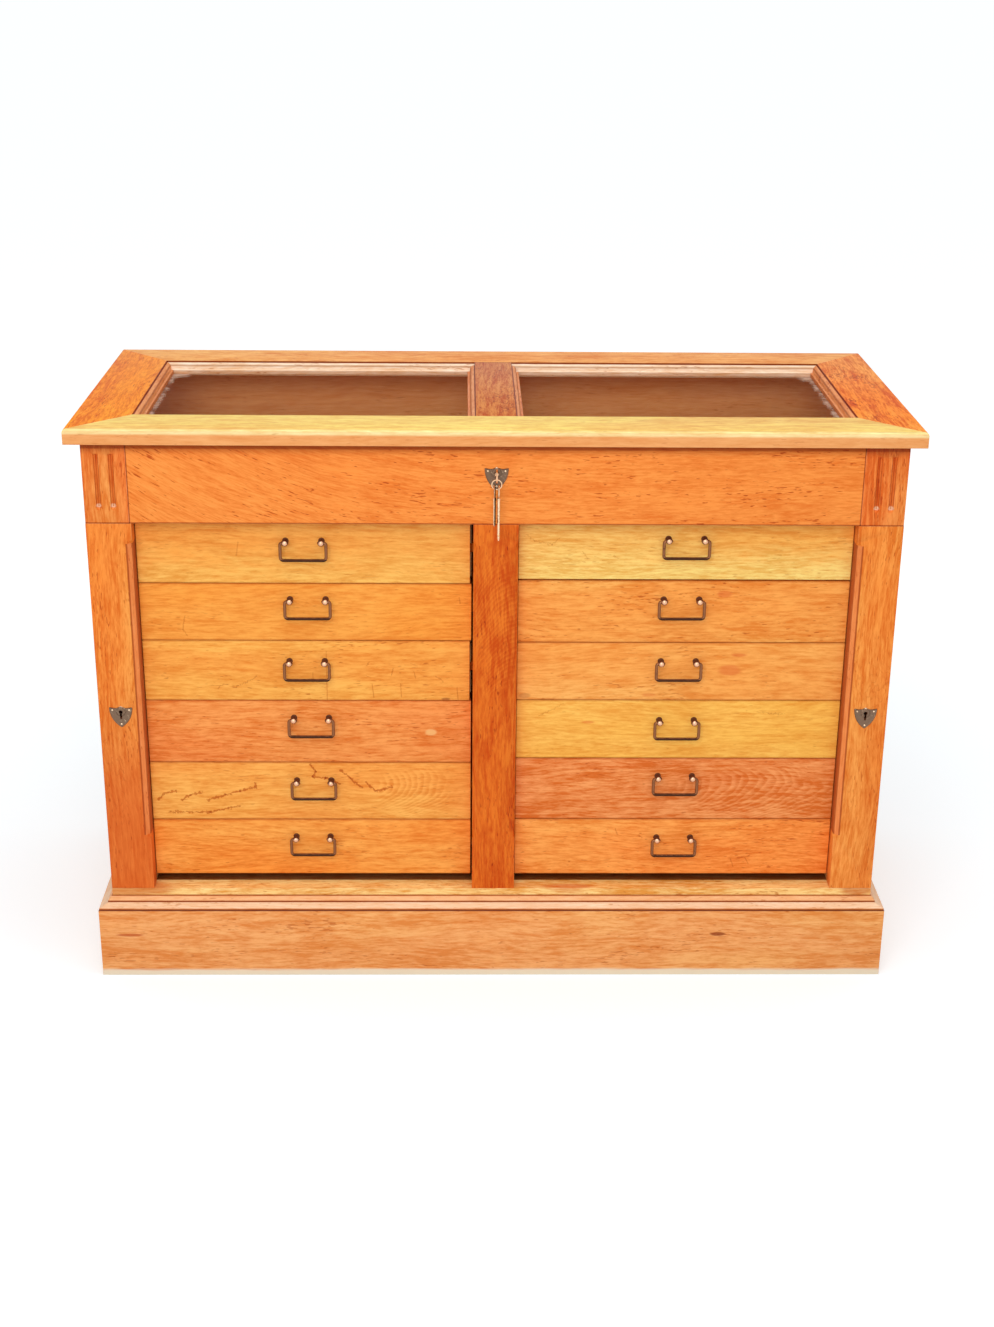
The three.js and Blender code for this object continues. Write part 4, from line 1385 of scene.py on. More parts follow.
@dataclass
class Lid(Assembly):
    """Mitred moulded frame with a mullion, two panes and two butt hinges.

    Attributes:
        front: The colour of the front member's top.
        front_edge: The colour of its upright face.
        arris: The colour of the painted highlight on the arris between them.
        back: The colour of the back member.
        sides: The colours of the left and the right member.
        mullion: The colour of the mullion.
        bead: The colour of the back member's moulding, a painted highlight.
        side_bead: The colour of the other mouldings, a painted highlight.
        bead_width: The mouldings' width, in metres.
        arris_width: The width of the painted highlight along the front member's arris, in metres.
    """

    front: Rgb = tint(252, 216, 106)
    front_edge: Rgb = tint(239, 164, 97)
    arris: Rgb = tint(253, 236, 166)
    back: Rgb = tint(244, 170, 92)
    sides: tuple[Rgb, Rgb] = (tint(250, 146, 30), tint(245, 130, 30))
    mullion: Rgb = tint(208, 120, 44)
    bead: Rgb = tint(254, 230, 196)
    side_bead: Rgb = tint(236, 156, 96)
    bead_width: float = 12 * MM
    arris_width: float = 5 * MM

    def build(self) -> None:
        """Make the frame; the panes and hinges keep their nodes."""
        for node in ("lid_front_rail", "lid_back_rail", "lid_left_rail", "lid_right_rail", "lid_mullion"):
            self.carve(node, 0.5 * MM, 20 * MM)

    def moulding(self, axis: int, edge: float, away: int, colour: Rgb) -> tuple[Region, ...]:
        """Colour the moulding along one inner edge with a painted highlight, with painted shade in its two hollow lines
        and along the glass.

        Args:
            axis: The axis across the member.
            edge: The glass side of the member, in metres.
            away: The direction from there into the member.
            colour: The moulding's colour, a painted highlight.

        Returns:
            The regions.
        """

        def strip(start: float, end: float, shade: Rgb, strength: float, factor: bool) -> Region:
            ends = sorted((edge + away * start, edge + away * end))
            low, high = [-FAR] * 3, [FAR] * 3
            low[axis], high[axis] = ends
            return Region(tuple(low), tuple(high), shade, strength, 0.35 * MM, factor)

        width = self.bead_width
        # The first strip is the painted highlight; the others are painted shade.
        return (
            strip(-MM, width - 0.4 * MM, colour, 0.9, False),
            strip(width - 1.4 * MM, width + 0.9 * MM, SHADE_AND_GRIME, 1.0, True),
            strip(width - 0.8 * MM, width + 0.5 * MM, SHADE_AND_GRIME, 0.8, True),
            strip(4.6 * MM, 6.0 * MM, SHADE_AND_GRIME, 0.7, True),
            strip(-MM, 0.7 * MM, SHADE_AND_GRIME, 0.5, True),
        )

    def dress(self) -> None:
        """Give each member its wood, the panes their glass and the hinges their brass."""
        low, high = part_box("lid_front_rail")
        # Painted highlight along the front arris, on the top and on the upper edge of the front face.
        rounded = Region((-FAR, -FAR, -FAR), (FAR, low.y + self.arris_width, FAR), self.arris, 0.6, 2 * MM)
        upright = Region((-FAR, -FAR, -FAR), (FAR, low.y + 0.9 * MM, FAR), self.front_edge, 1.0, 0.5 * MM)
        brow_highlight = Region((-FAR, -FAR, high.z - 7.5 * MM), (FAR, low.y + 0.9 * MM, FAR), self.arris, 0.9, 2 * MM)
        front = Oak(
            self.front,
            1.0,
            seed=50,
            heart=0.3,
            patch=tint(246, 176, 84),
            patches=0.4,
            warmth=0.25,
            pores=0.35,
            regions=(rounded, upright, brow_highlight),
        )
        self.oil("wood_lid_front_rail", front, "pale_oak")
        low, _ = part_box("lid_back_rail")
        bead = self.moulding(1, low.y, 1, self.bead)
        back = Oak(self.back, 1.35, seed=51, heart=0.4, patches=0.3, pores=0.7, regions=bead)
        self.oil("wood_lid_back_rail", back, "pale_oak")
        for seed, (hand, away) in enumerate(zip(HANDS, (-1, 1))):
            low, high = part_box(f"lid_{hand}_rail")
            bead = self.moulding(0, high.x if hand == "left" else low.x, away, self.side_bead)
            side = Oak(
                self.sides[seed],
                1.55 + 0.25 * seed,
                Grain.ALONG_Y,
                seed=52 + seed,
                heart=0.4,
                rays=0.3 + 0.6 * seed,
                pores=1.0,
                patches=0.3,
                # Painted light: the rail paler towards the front.
                regions=(*bead, Region((-FAR, -FAR, -FAR), (FAR, low.y + 110 * MM, FAR), (1.04, 1.16, 1.1), 0.8, 90 * MM, True)),
                gleam=0.06,
            )
            self.oil(f"wood_lid_{hand}_rail", side, "oak")
        low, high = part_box("lid_mullion")
        beads = self.moulding(0, low.x, 1, self.side_bead) + self.moulding(0, high.x, -1, self.side_bead)
        mullion = Oak(
            self.mullion,
            1.9,
            Grain.ALONG_Y,
            seed=55,
            heart=0.3,
            rays=1.0,
            pores=1.0,
            warmth=0.6,
            patch=tint(236, 158, 100),
            regions=beads,
        )
        self.oil("wood_lid_mullion", mullion, "oak")
        for hand in HANDS:
            low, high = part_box(f"lid_glass_{hand}")
            rebate = 8 * MM
            middle = ((low.x + high.x) / 2, (low.y + high.y) / 2)
            half = ((high.x - low.x) / 2 - rebate, (high.y - low.y) / 2 - rebate)
            outer = -1 if hand == "left" else 1
            dress_node(f"lid_glass_{hand}", Pane(middle, half, outer).material(f"pane_{hand}"))
            for part in ("case_leaf", "lid_leaf"):
                node = f"lid_hinge_{part}_{hand}"
                dress_node(node, BRASS.material(f"{node}_brass"))


@dataclass
class Escutcheon(Assembly):
    """Shield-shaped keyhole plate.

    Attributes:
        node: The node that it stands for.
        width: Its width, in metres.
        dip: How deep the scallops of its top are, in metres.
        boss: The radius of the raised ring about the keyhole, in metres.
        eye: The radius of the keyhole's eye, in metres.
        slot: Half the width of the keyhole's slot, in metres.
        slot_length: How far the slot reaches below the eye's middle, in metres.
        below_top: How far the eye's middle lies below the shield's point, in metres.
        thickness: The plate's thickness, in metres.
    """

    node: str
    width: float = 37 * MM
    dip: float = 4 * MM
    boss: float = 6.6 * MM
    eye: float = 3 * MM
    slot: float = 1.5 * MM
    slot_length: float = 12.5 * MM
    below_top: float = 10 * MM
    thickness: float = 1.8 * MM

    def outline(self, turns: np.ndarray) -> np.ndarray:
        """Work out how far the shield's edge is from the keyhole's eye in each direction: six quadratic curves, each
        from its start past its pull to its end, give the edge, which is read by its direction.

        Args:
            turns: The directions.

        Returns:
            The distances.
        """
        half, top, foot = self.width / 2, self.below_top, self.below_top - self.width
        dip, corner, flank = top - self.dip, top - 0.3 * self.dip, top - 0.667 * self.width
        right = np.array(
            [
                [(0, top), (half * 0.25, dip), (half * 0.5, dip)],
                [(half * 0.5, dip), (half * 0.75, dip), (half, corner)],
                [(half, corner), (half, flank), (0, foot)],
            ]
        )
        left = (right * (-1, 1))[::-1, ::-1]
        curves = np.concatenate([right, left])
        s = np.linspace(0, 1, 24, endpoint=False)[None, :, None]
        edge = (1 - s) ** 2 * curves[:, None, 0] + 2 * s * (1 - s) * curves[:, None, 1] + s**2 * curves[:, None, 2]
        edge = edge.reshape(-1, 2)
        return np.interp(turns, *self.by_turn(edge), period=2 * math.pi)

    @staticmethod
    def by_turn(edge: np.ndarray) -> tuple[np.ndarray, np.ndarray]:
        """Give the direction and distance of points, in the order of their direction."""
        turn = np.arctan2(edge[:, 1], edge[:, 0]) % (2 * math.pi)
        order = np.argsort(turn)
        return turn[order], np.hypot(edge[:, 0], edge[:, 1])[order]

    def build(self) -> None:
        """Make the plate and its three pins.

        A point lies between keyhole and edge by its share of the way; the front's height is the plate, plus a smooth
        step inside the boss, plus a bead along the edge, less the edge's rounding. The back is flat.
        """
        low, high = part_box(self.node)
        x, top, back = (low.x + high.x) / 2, high.z, high.y
        turns = np.linspace(0, 2 * math.pi, 96, endpoint=False)
        outer = self.outline(turns)
        sine, cosine = np.sin(turns), np.cos(turns)
        slot = np.minimum(self.slot / np.maximum(abs(cosine), WELD), self.slot_length / np.maximum(abs(sine), WELD))
        inner = np.where(sine < 0, np.maximum(self.eye, slot), self.eye)
        shares = np.r_[0, 0.02, np.linspace(0.06, 0.9, 16), 0.94, 0.97, 0.99, 1][:, None]
        reach = inner + shares * (outer - inner)
        rim = (1 - shares) * (outer - inner)
        raised = 1.5 * MM * np.clip((self.boss + 0.8 * MM - reach) / (1.6 * MM), 0, 1) ** 0.7
        hollow = 0.45 * MM * np.exp(-(((reach - self.boss - 1.6 * MM) / (0.9 * MM)) ** 2))
        bead = 0.45 * MM * np.exp(-(((rim - 1.5 * MM) / (0.8 * MM)) ** 2))
        easing = 0.9 * MM * np.clip(1 - rim / (0.9 * MM), 0, 1) ** 2 + 0.3 * MM * (shares < 0.01)
        height = self.thickness - 0.3 * MM + raised - hollow + bead - easing
        front = np.stack([x + reach * cosine, back - height, top - self.below_top + reach * sine], axis=-1)
        rear = front[::-1].copy()
        rear[..., 1] = back
        rings = np.concatenate([front, rear])
        body = body_of(self.node)
        self.add(f"shield_{self.node}", skin_over(rings, closed=True), body, self.node)
        dome = np.array([(0, -1), (1.5, -1), (1.5, 0.1), (1.2, 0.45), (0.7, 0.65), (0, 0.72)]) * MM
        places = [(-0.36, 0.19), (0.36, 0.19), (0.0, 0.84)]
        heads = [
            turned(dome, (x + across * self.width, back - self.thickness + 0.2 * MM, top - down * self.width), (0, -1, 0), 12)
            for across, down in places
        ]
        self.add(f"pins_{self.node}", heads[0] + heads[1] + heads[2], body)

    def dress(self) -> None:
        """Give the plate its tarnished brass, with a painted highlight along its scalloped top, and the pins their
        bright metal.
        """
        _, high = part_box(self.node)
        # The plate's painted highlight along its scalloped top.
        plate = Metal(tint(232, 206, 172), tint(124, 99, 80), 0.34, 0.42, 230, lit=(2, high.z - 1.6 * MM, 2.4 * MM))
        self.plate(f"shield_{self.node}", plate.material(f"{self.node}_plate"), "brass")
        pins = Metal(tint(236, 206, 172), tint(160, 120, 84), 0.3, 0.35)
        self.plate(f"pins_{self.node}", pins.material(f"{self.node}_pins"), "brass")


def keyhole(node: str) -> Region:
    """Give the painted shade of the keyhole, on the wood behind a plate.

    Args:
        node: The plate's node.

    Returns:
        The region.
    """
    low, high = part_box(node)
    middle = (low.x + high.x) / 2
    shape = Escutcheon(node)
    eye = high.z - shape.below_top
    reach = shape.eye + 1.5 * MM
    return Region(
        (middle - reach, -FAR, eye - shape.slot_length - MM), (middle + reach, FAR, eye + reach), (0.12, 0.08, 0.06), 1.0,
        0.5 * MM, True,
    )


@dataclass
class LockingStile(Assembly):
    """Hinged stile with its keyhole plate and lock.

    Attributes:
        hand: Which side it is on.
        colour: Its colour.
        foot: Its colour near the floor, where it has darkened.
        chamfer: The colour of its chamfer, a painted shade.
        chamfer_width: The chamfer's width, in metres.
        chamfer_ends: The heights between which the chamfer runs, in metres.
    """

    hand: str
    colour: Rgb = tint(244, 140, 54)
    foot: Rgb = tint(224, 100, 32)
    chamfer: Rgb = tint(240, 142, 76)
    chamfer_width: float = 9 * MM
    chamfer_ends: tuple[float, float] = (251 * MM, 750 * MM)

    def build(self) -> None:
        """Make the stile and its plate."""
        self.carve(f"locking_stile_{self.hand}")
        self.shield = Escutcheon(f"escutcheon_{self.hand}")
        self.shield.build()

    def dress(self) -> None:
        """Give the stile its wood and the metal its finishes."""
        seed = 60 + HANDS.index(self.hand)
        low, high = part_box(f"locking_stile_{self.hand}")
        inner, away = (high.x, -1) if self.hand == "left" else (low.x, 1)

        def strip(start: float, end: float, colour: Rgb, factor: bool) -> Region:
            ends = sorted((inner + away * start, inner + away * end))
            foot, top = self.chamfer_ends
            return Region((ends[0], -FAR, foot), (ends[1], FAR, top), colour, 0.9, 0.5 * MM, factor)

        width = self.chamfer_width
        wood = Oak(
            self.colour,
            1.25,
            Grain.ALONG_Z,
            seed=seed,
            heart=0.3,
            figure=0.4,
            rings=150,
            pores=0.8,
            rays=0.25,
            patches=0.25,
            warmth=0.6,
            regions=(
                Region((-FAR, -FAR, -FAR), (FAR, FAR, 0.42), self.foot, 0.8 if self.hand == "left" else 0.15, 0.14),
                # Painted shade: the chamfer's tone, a dark line along its border and another along the stile's inner
                # edge.
                strip(-MM, width, self.chamfer, False),
                strip(width - 1.3 * MM, width + 1.1 * MM, SHADE_AND_GRIME, True),
                strip(-MM, 2.0 * MM, SHADE_AND_GRIME, True),
                # Painted shade along the stile's top, under the block.
                Region((-FAR, -FAR, high.z - 2.6 * MM), (FAR, FAR, FAR), SHADE_AND_GRIME, 0.7, 0.8 * MM, True),
                keyhole(f"escutcheon_{self.hand}"),
            ),
        )
        self.oil(f"wood_locking_stile_{self.hand}", wood, "oak")
        self.shield.dress()
        dress_node(f"stile_lock_{self.hand}", STEEL.material(f"stile_lock_{self.hand}_steel"))


@dataclass
class Drawer(Assembly):
    """One drawer: front, box and drop handle.

    Attributes:
        hand: Which stack it is in.
        row: Its row, from the top.
        front: The front's wood.
        front_thickness: The front's thickness, in metres.
        wall: The box's thickness, in metres.
        foot_inset: How far the box's sides stand above the front's foot, in metres.
        top_inset: How far they stay below its top, in metres.
        bottom_rise: How far the bottom lies above the sides' feet, in metres.
        bottom: The bottom's thickness, in metres.
        groove: The depth of the runner grooves, in metres.
        groove_half: Half their height, in metres.
        post_reach: How far the balls' middles stand before the front, in metres.
        post_spacing: The distance between the two balls, in metres.
        wire: The handle wire's radius, in metres.
        end_trim: How much narrower the front is than its place at its inner end, in metres.
        foot_trim: How much lower it is at its foot, in metres.
    """

    hand: str
    row: int
    front: Oak
    front_thickness: float = 20 * MM
    wall: float = 12 * MM
    foot_inset: float = 6 * MM
    top_inset: float = 12 * MM
    bottom_rise: float = 8 * MM
    bottom: float = 5 * MM
    groove: float = 6.5 * MM
    groove_half: float = 7.6 * MM
    post_reach: float = 12 * MM
    post_spacing: float = 56 * MM
    wire: float = 2.45 * MM
    end_trim: float = 0.0
    foot_trim: float = 0.0

    def __post_init__(self) -> None:
        """Read where the drawer and its handle are."""
        self.key = f"{self.hand}_{self.row}"
        self.low, self.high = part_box(f"drawer_{self.key}")
        self.grip_low, self.grip_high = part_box(f"drawer_handle_{self.key}")
        self.face = (self.grip_low.y + self.grip_high.y) / 2 + self.post_reach

    def build(self) -> None:
        """Make the front, the box, the two ball posts and the bail."""
        body = body_of(f"drawer_{self.key}")
        low, high = self.low, self.high
        back = self.face + self.front_thickness
        slab = board((low.x, self.face, low.z + self.foot_trim), (high.x - self.end_trim, back, high.z), 1.1 * MM)
        self.add(f"drawer_front_{self.key}", slab, body, f"drawer_{self.key}")
        self.add(f"drawer_box_{self.key}", self.box_skin(back), body)
        self.add(f"drawer_posts_{self.key}", self.post(-1) + self.post(1), body)
        self.add(f"drawer_bail_{self.key}", self.bail(), body_of(f"drawer_handle_{self.key}"), f"drawer_handle_{self.key}")

    def box_skin(self, back: float) -> Skin:
        """Make the box: two grooved sides carried along Y, a back and a bottom let in between them.

        Args:
            back: Where the front's back is.

        Returns:
            The four boards.
        """
        low, high = self.low, self.high
        foot, top = low.z + self.foot_inset, high.z - self.top_inset
        middle = (low.z + high.z) / 2
        sides: Skin | None = None
        for outer, inward in ((low.x, 1), (high.x, -1)):
            inner, sunk = outer + inward * self.wall, outer + inward * self.groove
            up, down = middle + self.groove_half, middle - self.groove_half
            corners = [(outer, foot), (outer, down), (sunk, down), (sunk, up), (outer, up), (outer, top), (inner, top), (inner, foot)]
            outline = eased(np.array(corners), 0.8 * MM, 2)
            rail = prism(outline, (0, 2, 1), back - 0.5 * MM, high.y, 0.6 * MM)
            sides = rail if sides is None else sides + rail
        rear = board((low.x + self.wall - MM, high.y - self.wall, foot), (high.x - self.wall + MM, high.y - 0.5 * MM, top - MM), 0.8 * MM)
        shelf = foot + self.bottom_rise
        plank = board(
            (low.x + self.wall - 4 * MM, back - 0.5 * MM, shelf),
            (high.x - self.wall + 4 * MM, high.y - self.wall + MM, shelf + self.bottom),
            0.5 * MM,
        )
        return sides + rear + plank

    def post(self, side: int) -> Skin:
        """Turn one ball post: a rose against the front, a waisted stem and a ball.

        Args:
            side: Which of the two.

        Returns:
            The post.
        """
        x = (self.grip_low.x + self.grip_high.x) / 2 + side * self.post_spacing / 2
        z = self.grip_high.z - self.wire
        ball = 5.35 * MM
        turn = np.linspace(math.acos(-0.79), 0, 12)
        sphere = np.stack([ball * np.sin(turn), self.post_reach + ball * np.cos(turn)], axis=1)
        foot = np.array([(0, -0.8), (5.1, -0.8), (5.1, 0.7), (4.8, 1.25), (4.1, 1.6), (3.4, 1.8), (3.0, 2.6), (2.9, 4.2), (3.0, 6.6)])
        return turned(np.vstack([foot * MM, sphere]), (x, self.face, z), (0, -1, 0), 24)

    def bail(self) -> Skin:
        """Bend the bail: its half is a straight end through the ball, a tight bend, a drop, a wider bend and half
        the foot; the other half is its mirror image.

        Returns:
            The bail.
        """
        middle = (self.grip_low.x + self.grip_high.x) / 2
        y, top = (self.grip_low.y + self.grip_high.y) / 2, self.grip_high.z - self.wire
        foot = self.grip_low.z + self.wire
        side = self.grip_high.x - self.wire - middle
        tight, wide, end = 3.6 * MM, 5 * MM, 22 * MM
        turn = np.linspace(math.pi / 2, 0, 7)
        upper = np.stack([side - tight + tight * np.cos(turn), top - tight + tight * np.sin(turn)], axis=1)
        turn = np.linspace(0, -math.pi / 2, 8)
        lower = np.stack([side - wide + wide * np.cos(turn), foot + wide + wide * np.sin(turn)], axis=1)
        ends = end + self.wire * (1 - np.cos(np.linspace(0, math.pi / 2, 4)))
        start = np.stack([ends, np.full(4, top)], axis=1)
        half = np.vstack([start, upper, lower])
        line = np.vstack([half, half[::-1] * (-1, 1)])
        path = np.stack([middle + line[:, 0], np.full(len(line), y), line[:, 1]], axis=1)
        radii = np.full(len(path), self.wire)
        tip = self.wire * np.sqrt(np.clip(1 - (1 - (ends - end) / self.wire) ** 2, 0.02, 1))
        radii[:4], radii[-4:] = tip, tip[::-1]
        return tube(path, radii, (0, 1, 0), 14)

    def dress(self) -> None:
        """Give the front its own board, the box plain oak and the handle its bronze."""
        seed = 100 + 10 * self.row + HANDS.index(self.hand)
        # The front's height, for the painted shade along its top and bottom edges.
        edge = ((self.low.z + self.high.z) / 2, (self.high.z - self.low.z) / 2)
        self.oil(f"drawer_front_{self.key}", replace(self.front, seed=seed, edge=edge), "pale_oak")
        box = Oak(tint(230, 180, 122), 0.7, Grain.ALONG_Y, seed=seed + 5, heart=0.2, pores=0.4, warmth=0.2, sheen=0.6)
        self.oil(f"drawer_box_{self.key}", box, "pale_oak")
        # Painted highlight on the front of each ball, painted shade on the rest of the post.
        posts = replace(COPPER, lit=(1, self.face - self.post_reach - 3.4 * MM, -1.2 * MM))
        self.plate(f"drawer_posts_{self.key}", posts.material(f"posts_{self.key}_bronze"), "bronze")
        foot = self.grip_low.z + self.wire
        # Painted highlight above the middle of the bail's foot, painted shade on its lower part.
        bail = replace(BRONZE, lit=(2, foot + 1.7 * MM, 0.7 * MM))
        self.plate(f"drawer_bail_{self.key}", bail.material(f"bail_{self.key}_bronze"), "bronze")


@dataclass
class Key(Assembly):
    """One key: a ring bow, a turned collar, a round shank and a bit with two wards.

    Attributes:
        node: The node that it stands for.
        along: The direction from bow to bit.
        down: The direction in which the bit points.
        shaded: Whether it is painted dark as in shade, but for a painted highlight on its left edge.
        bow: The radius of the bow's middle line, in metres.
        bar: The radius of its bar, in metres.
    """

    node: str
    along: Point
    down: Point
    shaded: bool = False
    bow: float = 8.6 * MM
    bar: float = 2.2 * MM

    def build(self) -> None:
        """Make the key along its own axes and set it in its place."""
        low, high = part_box(self.node)
        along, down = Vector(self.along), Vector(self.down)
        ring = self.bow + self.bar
        first = [low[i] if self.along[i] > 0 else high[i] for i in range(3)]
        centre = Vector(first[i] + self.along[i] * ring if self.along[i] else 0.0 for i in range(3))
        upright = 2 if self.down[1] == 0 else 1
        bottom = high[upright] if self.down[upright] < 0 else low[upright]
        if upright == 2:
            centre.z = high.z - ring
        else:
            centre.y = low.y + ring
        centre.x = (low.x + high.x) / 2
        del bottom
        length = max(abs((high - low).dot(along)), 0.0) - ring
        turn = np.linspace(0, 2 * math.pi, 40, endpoint=False)
        loop = np.stack([self.bow * np.cos(turn), self.bow * np.sin(turn), 0 * turn], axis=1)
        shape = tube(loop, self.bar, (0, 0, 1), 14, closed=True, flat=0.66)
        rod = np.array([(0, 8.2), (2, 8.4), (2.0, 10.6), (2.8, 11.2), (2.85, 12.2), (2.2, 12.8), (2.7, 13.3), (2.7, 13.9), (2, 14.4)])
        tip = length / MM
        end = np.array([(2, tip - 0.9), (1.7, tip - 0.3), (1.1, tip), (0, tip)])
        shape = shape + turned(np.vstack([rod, end]) * MM, (0, 0, 0), (1, 0, 0), 16)
        far, near, drop = tip - 1, tip - 7, 9
        wards = [
            (near, 0), (near, drop), (near + 1.6, drop), (near + 1.6, drop - 3.2), (near + 2.5, drop - 3.2),
            (near + 2.5, drop), (near + 4.2, drop), (near + 4.2, drop - 4), (near + 4.9, drop - 4),
            (near + 4.9, drop), (far, drop), (far, 0),
        ]
        shape = shape + prism(np.array(wards) * MM, (0, 1, 2), -0.95 * MM, 0.95 * MM, 0.2 * MM)
        square = along.cross(down)
        turned_to = np.array([along, down, square])
        placed = Skin(shape.points @ turned_to + np.array(centre), shape.faces)
        self.add(f"steel_{self.node}", placed, body_of(self.node), self.node)

    def dress(self) -> None:
        """Give the key its rubbed steel; the shaded key is painted dark with a highlight on its left edge."""
        low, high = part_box(self.node)
        steel = KEY_STEEL
        if self.shaded:
            # Painted shade over the key, with a painted highlight on its left edge.
            middle = (low.x + high.x) / 2
            steel = replace(steel, dull=tint(64, 46, 34), patina=0.6, lit=(0, middle - 0.2 * MM, -0.5 * MM))
        self.plate(f"steel_{self.node}", steel.material(f"{self.node}_steel"), "steel")


@dataclass
class LidLock(Assembly):
    """Keyhole plate, lock, bolt, keys and ring of the lid.

    Attributes:
        wire: The ring wire's radius, in metres.
    """

    wire: float = 0.9 * MM

    def build(self) -> None:
        """Make the plate, the three keys and the ring."""
        self.parts = [
            Escutcheon("escutcheon_lid"),
            Key("lid_key", (0, 1, 0), (0, 0, -1)),
            Key("spare_key_long", (0, 0, -1), (0, -1, 0)),
            Key("spare_key_short", (0, 0, -1), (0, -1, 0), shaded=True),
        ]
        for part in self.parts:
            part.build()
        low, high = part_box("key_ring")
        centre, radius = (low + high) / 2, (high.x - low.x) / 2 - self.wire
        turn = np.linspace(0, 2 * math.pi, 48, endpoint=False)
        loop = np.stack([radius * np.cos(turn), 0 * turn, radius * np.sin(turn)], axis=1) + np.array(centre)
        self.add("steel_key_ring", tube(loop, self.wire, (0, 1, 0), 10, closed=True), body_of("key_ring"), "key_ring")

    def dress(self) -> None:
        """Give the metal its finishes."""
        for part in self.parts:
            part.dress()
        self.plate("steel_key_ring", KEY_STEEL.material("key_ring_steel"), "steel")
        for node in ("lid_lock", "lid_lock_bolt"):
            dress_node(node, STEEL.material(f"{node}_steel"))


BRONZE = Metal(tint(140, 92, 62), tint(72, 42, 26), 0.42, 0.6, 160)
COPPER = Metal(tint(228, 180, 146), tint(104, 60, 38), 0.38, 0.55, 200)
BRASS = Metal(tint(190, 150, 96), tint(96, 66, 42), 0.38, 0.5, 120)
STEEL = Metal(tint(170, 160, 150), tint(96, 78, 66), 0.38, 0.45, 90)
KEY_STEEL = Metal(tint(240, 206, 168), tint(176, 132, 92), 0.28, 0.34, 260)


def trails(*lines: tuple[tuple[float, float], ...], half: float = 1.0 * MM, strength: float = 0.8) -> tuple[Stroke, ...]:
    """Join the corners of lines by strokes.

    Args:
        *lines: Each line's corners, along X and Z, in millimetres.
        half: Half the strokes' width, in metres.
        strength: How much they cover.

    Returns:
        The strokes.
    """
    strokes = []
    for line in lines:
        for (x0, z0), (x1, z1) in zip(line, line[1:]):
            strokes.append(Stroke((x0 * MM, z0 * MM), (x1 * MM, z1 * MM), half, strength))
    return tuple(strokes)


def stain(x: float, z: float, half_x: float, half_z: float, colour: Rgb, strength: float = 0.6) -> Spot:
    """Give a spot on a drawer front, in millimetres."""
    return Spot((x * MM, -0.226, z * MM), (half_x * MM, 20 * MM, half_z * MM), colour, strength)


RUST = tint(226, 110, 48)
DARK = tint(150, 70, 34)
CRACKS = trails(
    ((-268, 562), (-268, 479)),
    ((-290, 527), (-290, 510)),
    ((-199, 545), (-205, 538)),
    ((-205, 522), (-199, 517)),
    ((-162, 533), (-165, 521)),
    ((-129, 529), (-126, 517)),
    ((-94, 521), (-82, 511)),
    ((-196, 507), (-193, 483)),
    ((-150, 507), (-149, 483)),
    ((-60, 500), (-58, 479)),
    ((-413, 501), (-378, 520)),
    ((-442, 499), (-432, 506)),
    half=0.8 * MM,
    strength=0.55,
)
TIGER = trails(
    ((-549, 301), (-539, 312), (-519, 317)),
    ((-510, 301), (-496, 310), (-477, 315)),
    ((-468, 301), (-438, 310), (-415, 317), (-391, 324)),
    ((-389, 333), (-388, 323)),
    ((-299, 366), (-290, 352), (-295, 343), (-274, 341), (-251, 330)),
    ((-250, 355), (-234, 341), (-215, 323)),
    ((-208, 332), (-192, 317), (-166, 325)),
    ((-531, 279), (-465, 279), (-416, 290)),
    half=1.7 * MM,
    strength=0.9,
)
SWIRL = Arches((-0.13, 0.312), (0.075, 0.05), 11 * MM, 26.0, 0.33, 0.6)
CATHEDRAL = Arches((0.43, 0.31), (0.16, 0.06), 15 * MM, 34.0, 0.33, 0.4)

